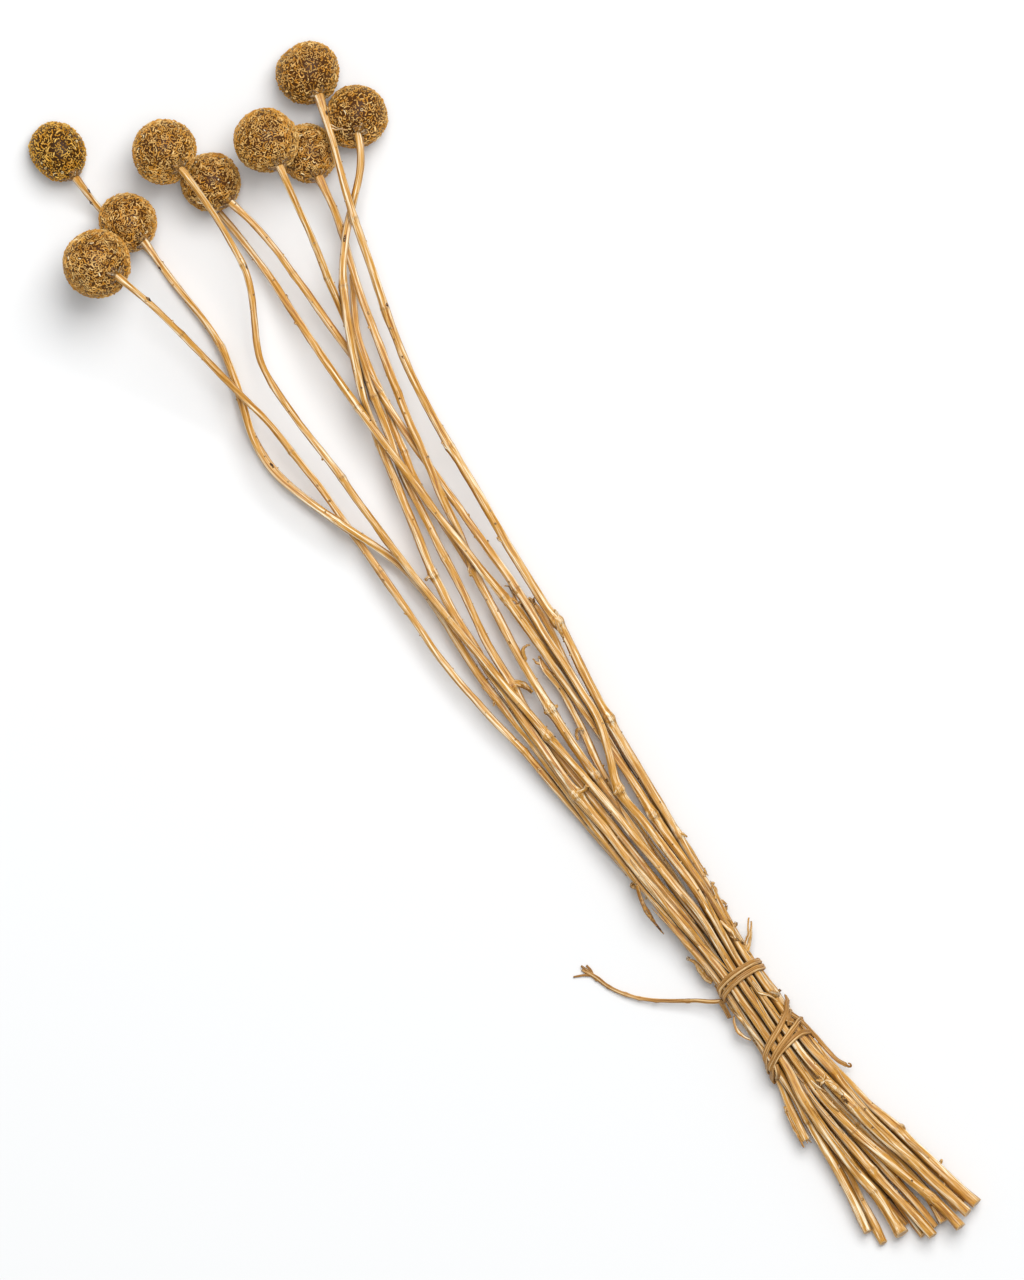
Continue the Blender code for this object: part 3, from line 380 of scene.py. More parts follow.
def fluted(tree, given, kept):
    """Each point's place along the fibres in millimetres, its flute from -1 to 1, and its rise."""
    turn = node(tree, "ShaderNodeMath", {0: kept["around"], 1: math.tau}, operation="MULTIPLY")
    length = node(tree, "ShaderNodeMath", {0: kept["along"], 1: 1 / MM}, operation="MULTIPLY")
    thick = node(tree, "ShaderNodeMath", {0: kept["girth"], 1: 1 / MM}, operation="MULTIPLY")
    apart = node(tree, "ShaderNodeMath", {0: given["Seed"], 1: kept["shift"]}, operation="ADD")
    side = node(tree, "ShaderNodeMath", {0: turn}, operation="COSINE")
    front = node(tree, "ShaderNodeMath", {0: turn}, operation="SINE")
    wide = node(tree, "ShaderNodeMath", {0: side, 1: thick}, operation="MULTIPLY")
    wide = node(tree, "ShaderNodeMath", {0: apart, 1: 31.7, 2: wide}, operation="MULTIPLY_ADD")
    deep = node(tree, "ShaderNodeMath", {0: front, 1: thick}, operation="MULTIPLY")
    fibre = node(tree, "ShaderNodeCombineXYZ", {"X": wide, "Y": deep, "Z": length})

    # Flutes: an even wave round the stalk, upset by creases that wander, join and end along it.
    drawn = node(tree, "ShaderNodeVectorMath", {0: fibre, 1: (0.02, 0.02, 0.03)}, operation="MULTIPLY")
    sway = node(tree, "ShaderNodeTexNoise", {"Vector": drawn, "Scale": 1.0, "Detail": 1.0})
    many = node(tree, "ShaderNodeMath", {0: turn, 1: given["Flutes"]}, operation="MULTIPLY")
    bent = node(tree, "ShaderNodeMath", {0: sway, 1: 14.0, 2: many}, operation="MULTIPLY_ADD")
    wave = node(tree, "ShaderNodeMath", {0: bent}, operation="SINE")
    rim = node(tree, "ShaderNodeCombineXYZ", {"X": side, "Y": front, "Z": length})
    rim = node(tree, "ShaderNodeVectorMath", {0: rim, 1: (1.6, 1.6, 0.035)}, operation="MULTIPLY")
    rim = node(tree, "ShaderNodeVectorMath", {0: apart, 1: (7.3, 3.1, 0.0), 2: rim},
               operation="MULTIPLY_ADD")
    crease = node(tree, "ShaderNodeTexNoise", {"Vector": rim, "Scale": 1.0, "Detail": 2.0})
    crease = node(tree, "ShaderNodeMath", {0: crease, 1: 3.6, 2: -1.8}, operation="MULTIPLY_ADD")
    flute = node(tree, "ShaderNodeMath", {0: wave, 1: 0.45, 2: crease}, operation="MULTIPLY_ADD")
    ridge = node(tree, "ShaderNodeClamp", {"Value": flute, "Min": -1.0, "Max": 1.0})

    # The skin rises on the ridges and on soft lumps a few millimetres long, but not on a cut face.
    most = node(tree, "ShaderNodeMath", {0: kept["girth"], 1: given["Flute depth"]}, operation="MULTIPLY")
    fold = node(tree, "ShaderNodeMath", {0: ridge, 1: most}, operation="MULTIPLY")
    bumpy = node(tree, "ShaderNodeVectorMath", {0: fibre, 1: (0.5, 0.5, 0.17)}, operation="MULTIPLY")
    lump = node(tree, "ShaderNodeTexNoise", {"Vector": bumpy, "Scale": 1.0, "Detail": 2.0})
    lump = node(tree, "ShaderNodeMath", {0: lump, 1: 0.5}, operation="SUBTRACT")
    rise = node(tree, "ShaderNodeMath", {0: lump, 1: given["Lump height"], 2: fold},
                operation="MULTIPLY_ADD")
    skinned = node(tree, "ShaderNodeMath", {0: 1.0, 1: kept["cut"]}, operation="SUBTRACT", use_clamp=True)
    return fibre, ridge, node(tree, "ShaderNodeMath", {0: rise, 1: skinned}, operation="MULTIPLY")


def stalk_tree():
    """Sweeps a fluted, slightly lumpy stalk along each guide line, as thick and flat as its values say."""
    tree, given = new_tree("grow_stalks", {
        "Sides": "Int", "Flutes": "Int", "Flute depth": "Float", "Lump height": "Float",
        "Seed": "Float", "Finish": "Material"})
    ways = (*STRAND_WAYS, "middle", "ahead")
    kept = {
        name: node(tree, "GeometryNodeInputNamedAttribute", {"Name": name},
                   data_type="FLOAT_VECTOR" if name in ways else "FLOAT")
        for name in (*STRAND_NUMBERS, "along", "around", *ways)}
    place = node(tree, "GeometryNodeInputPosition")
    tangent = node(tree, "GeometryNodeInputTangent")
    run = node(tree, "GeometryNodeSplineParameter").outputs
    line = node(tree, "GeometryNodeMeshToCurve", {"Mesh": given["Geometry"]})
    line = node(tree, "GeometryNodeSetCurveNormal", {"Curve": line, "Normal": kept["wide"]}, mode="FREE")
    for name, value in (("along", run["Length"]), ("middle", place), ("ahead", tangent)):
        line = node(tree, "GeometryNodeStoreNamedAttribute", {
            "Geometry": line, "Name": name, "Value": value}, data_type=kept[name].data_type)
    ring = node(tree, "GeometryNodeCurvePrimitiveCircle", {"Resolution": given["Sides"], "Radius": 1.0})
    ring = node(tree, "GeometryNodeStoreNamedAttribute", {
        "Geometry": ring, "Name": "around", "Value": run["Factor"]})
    skin = node(tree, "GeometryNodeCurveToMesh", {
        "Curve": line, "Profile Curve": ring, "Scale": kept["girth"], "Fill Caps": True})
    skin = node(tree, "GeometryNodeSetPosition", {
        "Geometry": skin, "Offset": pressed_flat(tree, kept, place)})
    fibre, ridge, rise = fluted(tree, given, kept)
    for name, value, kind in (("fibre", fibre, "FLOAT_VECTOR"), ("ridge", ridge, "FLOAT")):
        skin = node(tree, "GeometryNodeStoreNamedAttribute", {
            "Geometry": skin, "Name": name, "Value": value}, data_type=kind)
    out = node(tree, "GeometryNodeInputNormal")
    out = node(tree, "ShaderNodeVectorMath", {0: out, "Scale": rise}, operation="SCALE")
    skin = node(tree, "GeometryNodeSetPosition", {"Geometry": skin, "Offset": out})
    skin = node(tree, "GeometryNodeSetShadeSmooth", {"Geometry": skin, "Shade Smooth": True})
    skin = node(tree, "GeometryNodeRealizeInstances", {"Geometry": skin})
    skin = node(tree, "GeometryNodeSetMaterial", {"Geometry": skin, "Material": given["Finish"]})
    node(tree, "NodeGroupOutput", {"Geometry": skin})
    return tree


def floret_tree():
    """Sets small dry florets close together all over a head's core; neighbours lie much the same way."""
    tree, given = new_tree("grow_florets", {
        "Spacing": "Float", "Floret size": "Float", "Lean": "Float", "Seed": "Int",
        "Florets": "Collection", "Finish": "Material"})
    core = node(tree, "GeometryNodeStoreNamedAttribute", {
        "Geometry": given["Geometry"], "Name": "rise", "Value": 0.0})
    # The most there may be is set higher than the spacing lets stand, so the spacing alone decides.
    strewn = node(tree, "GeometryNodeDistributePointsOnFaces", {
        "Mesh": given["Geometry"], "Distance Min": given["Spacing"], "Density Max": 4.0e6,
        "Seed": given["Seed"]}, distribute_method="POISSON")
    place = node(tree, "GeometryNodeInputPosition")
    # Florets share their size in patches about 4 mm wide, and their turn in patches about 6 mm wide.
    patch = node(tree, "ShaderNodeTexNoise", {"Vector": place, "Scale": 260.0, "Detail": 1.0})
    flow = node(tree, "ShaderNodeTexNoise", {"Vector": place, "Scale": 170.0, "Detail": 1.5})
    for_lean, for_size, for_height = (
        node(tree, "ShaderNodeMath", {0: given["Seed"], 1: shift}, operation="ADD")
        for shift in (11.0, 23.0, 37.0))
    tone = node(tree, "FunctionNodeRandomValue", {2: 0.0, 3: 1.0, "Seed": given["Seed"]}, data_type="FLOAT")
    points = node(tree, "GeometryNodeStoreNamedAttribute", {
        "Geometry": strewn, "Name": "tone", "Value": tone})

    # Each floret leans a little at random, and turns as its patch does.
    back = node(tree, "ShaderNodeMath", {0: given["Lean"], 1: -1.0}, operation="MULTIPLY")
    lowest = node(tree, "ShaderNodeCombineXYZ", {"X": back, "Y": back, "Z": -0.6})
    highest = node(tree, "ShaderNodeCombineXYZ", {"X": given["Lean"], "Y": given["Lean"], "Z": 0.6})
    lean = node(tree, "FunctionNodeRandomValue", {
        0: lowest, 1: highest, "Seed": for_lean}, data_type="FLOAT_VECTOR")
    turn = node(tree, "ShaderNodeMath", {0: flow, 1: 22.0}, operation="MULTIPLY")
    turn = node(tree, "ShaderNodeCombineXYZ", {"Z": turn})
    lean = node(tree, "ShaderNodeVectorMath", {0: lean, 1: turn}, operation="ADD")
    lean = node(tree, "FunctionNodeEulerToRotation", {"Euler": lean})
    stand = node(tree, "FunctionNodeRotateRotation", {
        "Rotation": strewn.outputs["Rotation"], "Rotate By": lean}, rotation_space="LOCAL")

    # Florets grow in patches of larger and smaller ones, and a few stand tall.
    vary = node(tree, "FunctionNodeRandomValue", {2: 0.7, 3: 1.3, "Seed": for_size}, data_type="FLOAT")
    grow = node(tree, "ShaderNodeMapRange", {
        "Value": patch, "From Min": 0.3, "From Max": 0.7, "To Min": 0.8, "To Max": 1.25})
    size = node(tree, "ShaderNodeMath", {0: vary, 1: grow}, operation="MULTIPLY")
    size = node(tree, "ShaderNodeMath", {0: size, 1: given["Floret size"]}, operation="MULTIPLY")
    tall = node(tree, "FunctionNodeRandomValue", {2: 0.0, 3: 1.0, "Seed": for_height}, data_type="FLOAT")
    tall = node(tree, "ShaderNodeMath", {0: tall, 1: 5.0}, operation="POWER")
    tall = node(tree, "ShaderNodeMath", {0: tall, 1: 1.5, 2: 0.75}, operation="MULTIPLY_ADD")
    tall = node(tree, "ShaderNodeMath", {0: tall, 1: size}, operation="MULTIPLY")
    size = node(tree, "ShaderNodeCombineXYZ", {"X": size, "Y": size, "Z": tall})
    kinds = node(tree, "GeometryNodeCollectionInfo", {
        "Collection": given["Florets"], "Separate Children": True, "Reset Children": True})
    florets = node(tree, "GeometryNodeInstanceOnPoints", {
        "Points": points, "Instance": kinds, "Pick Instance": True, "Rotation": stand, "Scale": size})
    both = node(tree, "GeometryNodeJoinGeometry", {0: core})
    tree.links.new(florets.outputs[0], both.inputs[0])
    whole = node(tree, "GeometryNodeRealizeInstances", {"Geometry": both})

    # No floret goes under the surface that the bunch lies on.
    above = node(tree, "ShaderNodeVectorMath", {0: place, 1: (-9.0, -9.0, 0.0)}, operation="MAXIMUM")
    whole = node(tree, "GeometryNodeSetPosition", {"Geometry": whole, "Position": above})
    whole = node(tree, "GeometryNodeSetMaterial", {"Geometry": whole, "Material": given["Finish"]})
    node(tree, "NodeGroupOutput", {"Geometry": whole})
    return tree


def grown(name, tree, guide, **sizes):
    """The guide with the tree applied, as a plain mesh object; the guide is removed."""
    modifier = guide.modifiers.new("grow", "NODES")
    modifier.node_group = tree
    sockets = {item.name: item.identifier for item in tree.interface.items_tree if item.in_out == "INPUT"}
    for label, value in sizes.items():
        modifier[sockets[label.replace("_", " ")]] = value
    bpy.context.view_layer.update()
    graph = bpy.context.evaluated_depsgraph_get()
    mesh = bpy.data.meshes.new_from_object(guide.evaluated_get(graph))
    bpy.data.objects.remove(guide)
    mesh.name = name
    for spare in [kept.name for kept in mesh.attributes if not kept.is_required and not kept.is_internal]:
        if spare not in (*SHOWN_VALUES, "material_index", "sharp_face"):
            mesh.attributes.remove(mesh.attributes[spare])
    return new_object(name, mesh)


def strand(points, girth, cut=0.0, dark=0.0, flat=1.0, wide=None, slant=(0.0, 0.0, 0.0)):
    """One guide line in bunch millimetres: half width, cut face, darkness, how flat and which way wide."""
    points = np.asarray(points, float)
    ahead = unit(np.gradient(points, axis=0))
    if wide is None:
        wide = np.cross(ahead, (0.0, 0.0, 1.0))
        wide[np.linalg.norm(wide, axis=1) < 0.15] = (1.0, 0.0, 0.0)
    thin = unit(np.cross(np.broadcast_to(wide, points.shape), ahead))
    values = {"girth": np.asarray(girth) * MM, "cut": cut, "dark": dark, "flat": flat}
    line = {label: np.broadcast_to(value, len(points)) for label, value in values.items()}
    line["slant"] = np.broadcast_to(slant, points.shape)
    return {**line, "points": points, "thin": thin, "wide": np.cross(ahead, thin)}


def guide_lines(name, strands):
    """A mesh of open lines for the stalk tree, with each strand's values at its points."""
    points, edges = [], []
    for number, line in enumerate(strands):
        first = len(points)
        points.extend(tuple(point) for point in placed(line["points"]))
        edges.extend((i, i + 1) for i in range(first, len(points) - 1))
        line["shift"] = np.full(len(line["points"]), number * 0.37)
    mesh = bpy.data.meshes.new(name)
    mesh.from_pydata(points, edges, [])
    for label in (*STRAND_NUMBERS, *STRAND_WAYS):
        keep_values(mesh, label, np.concatenate([line[label] for line in strands]))
    return new_object(name + "_guide", mesh)


# Stems.

RING_SPACING = 1.15
SCAR_RINGS = np.array((-1.3, -0.8, -0.4, 0, 0.4, 0.8, 1.3))  # rings close enough to show a scar's swelling
SCAR_CLEARING = 1.6  # round a scar, the even rings make way for those
NODE_SHARE = 0.7  # of a node's swelling, as the round stem takes it
TUBE_SHARE = 0.97  # the round stem against the six-sided CAD one
NECK_FLARE = 0.36  # how much thicker a stem gets at its head
WAVER = 0.45  # how far a stem strays from its CAD line, in millimetres
STRAIGHT_NECK = 16.0  # the part of a stem that stays on its CAD line, so that it meets the head
FREED_OVER = 12
BUD_GAP = 4.0  # least space between buds, and what is added to it on average
BUD_SPREAD = 10.0
BARE_TOP = 14  # the end of a stem without buds
# How a cut end is closed: how far out each ring lies, its share of the girth, and its cut value, which
# goes from 1 at the rim to 2 in the pith.
CUT_OUT = np.array((0.16, 0.13, 0.10, 0.05))
CUT_GIRTH = np.array((0.12, 0.5, 0.9, 0.965))
CUT_FACE = (2.0, 1.6, 1.0, 1.0)


def with_cut(points, girth, dark, slope, way=(0.0, 0.0, 1.0), both=False):
    """A strand with a cut face at its first end, or at both, set back by slope on one side."""
    cut = np.zeros(len(points))
    dark = np.broadcast_to(dark, len(points))
    slant = np.zeros((len(points), 3))
    for sign in (1, -1) if both else (-1,):
        out = unit(points[0] - points[1])
        aside = unit(np.array(way, float) - out * float(np.dot(way, out)))
        hold = np.concatenate((np.ones(4), np.exp(-run_along(points) / 2.0)))
        slant = np.vstack((np.zeros((4, 3)), slant)) + sign * slope * hold[:, None] * aside
        points = np.vstack((points[0] + np.outer(CUT_OUT, out), points))
        girth = np.concatenate((CUT_GIRTH * girth[0], girth))
        dark = np.concatenate((np.zeros(4), dark))
        cut = np.concatenate((CUT_FACE, cut))
        points, girth, dark, cut, slant = (row[::-1] for row in (points, girth, dark, cut, slant))
    return strand(points, girth, cut=cut, dark=dark, slant=slant)


def on_stem(line, place, turn, lift):
    """Points on a stem: places along it, turns from its right over its top, and lifts off its skin."""
    across, height, radius = line_at(line, place)
    out = np.column_stack((np.cos(turn), np.zeros(len(place)), np.sin(turn)))
    return np.column_stack((across, place, height)) + out * (radius * TUBE_SHARE + lift)[:, None]


def stem_strand(stem, line, rng):
    """The stem itself, swollen and darker at its scars and nodes, kinked there, and cut or broken off."""
    along = line[0]
    bare = stem.startswith("bare")
    places = np.arange(along[0] - 1.0, along[-1], RING_SPACING)
    for scar in SCARS[stem]:
        places = places[np.abs(places - scar) > SCAR_CLEARING]
        places = np.concatenate((places, scar + SCAR_RINGS))
    places = np.unique(places)
    across, height, radius = line_at(line, places)
    girth = radius * TUBE_SHARE
    girth = girth * (1 + 0.05 * np.interp(places, along, softened(rng.normal(0, 2, len(along)), 3)))
    dark = np.zeros(len(places))
    kink = np.zeros(len(places))
    for scar in SCARS[stem]:
        girth = girth * (1 + rng.uniform(0.05, 0.14) * bulge(places, scar, 1.2))
        girth = girth * (1 + 0.06 * bulge(places, scar, 5.0))
        dark = np.maximum(dark, rng.uniform(0.1, 0.4) * bulge(places, scar + 0.4, 0.5))
        kink += rng.choice((-1, 1)) * rng.uniform(0.1, 0.25) * np.exp(-np.abs(places - scar) / 4.0)
    for owner, place, swell in NODES:
        if owner == stem:
            girth = girth * (1 + NODE_SHARE * swell * bulge(places, place, 2.4))
            dark = np.maximum(dark, 0.42 * bulge(places, place - 1.4, 0.7))
    if not bare:
        girth = girth * (1 + NECK_FLARE * bulge(places, along[-1] - 2.0, 7.0))
    waver = np.interp(places, along, softened(rng.normal(0, 1, len(along)), 5))
    free = np.clip((along[-1] - STRAIGHT_NECK - places) / FREED_OVER, 0, 1)
    points = np.column_stack((across + (kink + WAVER * waver) * free, places, height))
    # The first ring lies before the CAD line's first place, so it goes on straight from the next two.
    points[0] = points[1] - (points[1] - points[2]) / (places[1] - places[2]) * (places[1] - places[0])
    slope = rng.uniform(0.05, 0.45)
    way = (rng.uniform(-0.5, 0.5), 0.0, 1.0)
    return with_cut(points, girth, dark, slope, way, both=bare)


def twig_strands(stem, line, rng):
    """The stem's twigs and stubs, each a tapered stalk with a dark broken tip."""
    strands = []
    for owner, place, steps, root, tip in TWIGS:
        if owner != stem:
            continue
        across, height, _ = line_at(line, place)
        here = np.array((across, place, height))
        route = smooth_route((here, *(here + np.array(step) for step in steps)), 0.45)
        route[2:] += rng.normal(0, 0.06, (len(route) - 2, 3))
        share = np.linspace(0, 1, len(route))
        thick = root + (tip - root) * share + 0.12 * np.sin(share * 9 + place)
        strands.append(with_cut(route[::-1], thick[::-1], (0.05 + 0.45 * share**2)[::-1], 0.4))
    return strands


def bud_strands(stem, line, rng):
    """The dark scars that show on the stem, and small buds strewn along it."""
    strands = []
    for owner, place, turn in MARKS:
        if owner == stem:
            places = place + np.array((-1.1, 0, 1.1))
            scar = on_stem(line, places, np.full(3, turn), np.array((0.0, 0.16, 0.0)))
            strands.append(strand(scar, np.array((0.3, 0.55, 0.25)), dark=1.0, flat=0.6))
    first, last = line[0][[0, -1]]
    place = first + rng.uniform(6, 20)
    while place < last - BARE_TOP:
        turn = rng.uniform(-0.35, math.pi + 0.35)
        lift = rng.uniform(0.05, 0.42)
        route = on_stem(line, np.full(3, place), np.full(3, turn), np.array((-0.5, 0.02, lift)))
        route[1:, 1] += np.array((0.5, 1.0)) * rng.uniform(-0.3, 0.9) * (1 + lift)
        size = rng.uniform(0.26, 0.55)
        girths = np.array((size * 1.4, size, size * rng.uniform(0.3, 0.7)))
        strands.append(strand(route, girths, dark=np.array((0.1, 0.5, 1.0)) * rng.uniform(0.2, 1.0)))
        place += BUD_GAP + rng.exponential(BUD_SPREAD)
    return strands


def paint_crevice_shade(piece, own, lines):
    """Keeps at each point how close another stem's skin is, for painted shade in the crevices between
    stems.
    """
    x, y, z = spots_of(piece.data).T
    nearest = np.full(len(x), 9.0)
    for stem, line in lines.items():
        if stem == own:
            continue
        across, height, radius = line_at(line, y)
        gap = np.hypot(x - across, z - height) - radius
        beside = (y > line[0][0] - 1) & (y < line[0][-1] + 1)
        nearest = np.where(beside, np.minimum(nearest, gap), nearest)
    keep_values(piece.data, "crevice_shade", np.clip(1.25 - nearest / 1.3, 0, 1))


def make_stems(stalks, lines):
    """A stalk for each stem, with its twigs, scars and buds."""
    for number, (stem, line) in enumerate(lines.items()):
        rng = np.random.default_rng(STEM_SEED + number)
        strands = [stem_strand(stem, line, rng)]
        strands += twig_strands(stem, line, rng)
        strands += bud_strands(stem, line, rng)
        piece = grown(stem + "_stalk", stalks, guide_lines(stem, strands), Sides=26, Flutes=5,
                      Flute_depth=0.1, Lump_height=0.4 * MM, Seed=float(number),
                      Finish=FINISHES["dried_stem"])
        paint_crevice_shade(piece, stem, lines)
        shown(piece, stem, slot="dried_stem")


# Bark and papery remains.

# Strips of bark: stem, start and length along, turn from the right over the top in degrees, half width,
# lift off the stem at the start and at the end, and drift to the right at the start and at the end.
STRIPS = (
    ("stem_9", 20, 42, 100, 0.75, 0.05, 0.5, 0.0, 0.6), ("stem_9", 4, 24, 60, 0.6, 0.7, 0.1, 0.8, 0.0),
    ("stem_6", 6, 36, 120, 0.8, 0.1, 0.6, 0.0, -0.5), ("stem_6", 28, 30, 55, 0.55, 0.5, 0.1, 0.6, 0.0),
    ("stem_4", 10, 30, 95, 0.7, 0.0, 0.5, 0.0, 0.5), ("stem_4", 36, 34, 125, 0.6, 0.6, 0.1, -0.5, 0.0),
    ("stem_5", 8, 26, 70, 0.7, 0.1, 0.8, 0.0, 0.7), ("stem_5", 30, 30, 110, 0.75, 0.5, 0.1, -0.3, 0.0),
    ("stem_5", -22, 20, 75, 0.7, 0.6, 0.1, 0.5, 0.0), ("stem_8", 6, 32, 60, 0.85, 0.2, 0.7, 0.2, 0.4),
    ("stem_8", 14, 26, 110, 0.6, 0.1, 0.9, 0.0, -0.8), ("stem_8", -22, 20, 95, 0.8, 0.4, 0.2, 0.3, 0.4),
    ("stem_8", -48, 22, 70, 0.6, 0.1, 0.5, 0.0, 0.5), ("stem_2", 4, 38, 150, 0.8, 0.1, 0.4, 0.0, -0.6),
    ("stem_2", -26, 26, 105, 0.7, 0.5, 0.1, 0.5, 0.0), ("stem_2", 30, 30, 90, 0.6, 0.1, 0.5, 0.0, 0.4),
    ("stem_3", -24, 22, 140, 0.75, 0.1, 0.5, 0.0, -0.7), ("stem_3", 20, 28, 120, 0.8, 0.4, 0.1, -0.3, 0.0),
    ("stem_9", -30, 24, 120, 0.6, 0.0, 0.5, 0.0, -0.5), ("stem_9", -86, 34, 70, 0.6, 0.5, 0.0, 0.6, 0.0),
    ("stem_6", -70, 30, 60, 0.65, 0.1, 0.6, 0.0, 0.6), ("stem_6", -46, 18, 100, 0.7, 0.9, 0.0, 0.9, 0.0),
    ("stem_4", -62, 26, 70, 0.7, 0.5, 0.0, 0.7, 0.0), ("stem_4", -24, 20, 60, 0.6, 0.0, 0.5, 0.0, 0.5),
    ("stem_7", 50, 34, 80, 0.6, 0.1, 0.5, 0.0, 0.6), ("stem_7", 92, 24, 100, 0.55, 0.1, 0.9, 0.0, 0.8),
    ("stem_5", -92, 26, 80, 0.6, 0.5, 0.0, -0.6, 0.0), ("stem_8", -96, 24, 100, 0.6, 0.4, 0.0, 0.5, 0.0),
    ("stem_9", 84, 26, 90, 0.6, 0.1, 0.6, 0.0, -0.7), ("stem_3", 60, 22, 110, 0.5, 0.0, 0.5, 0.0, 0.4),
    ("stem_8", 40, 24, 40, 0.7, 0.5, 0.0, 0.6, 0.0), ("bare_stem_5", 10, 24, 30, 0.6, 0.6, 0.0, 0.7, 0.0),
    ("bare_stem_1", 12, 28, 60, 0.6, 0.6, 0.1, 0.6, 0.0),
    ("stem_1", -20, 26, 170, 0.6, 0.6, 0.0, -0.5, 0.0),
    ("stem_7", -52, 26, 100, 0.6, 0.0, 0.6, 0.0, 0.5), ("stem_2", 128, 20, 120, 0.5, 0.0, 0.7, 0.0, -0.6),
    ("stem_1", 60, 26, 250, 0.6, 0.2, 0.0, 0.3, 0.0), ("bare_stem_2", 20, 30, 270, 0.6, 0.2, 0.0, 0.3, 0.0),
    ("bare_stem_3", -50, 30, 280, 0.6, 0.3, 0.0, 0.3, 0.0),
    ("stem_7", 10, 36, 265, 0.6, 0.2, 0.1, 0.3, 0.0),
)
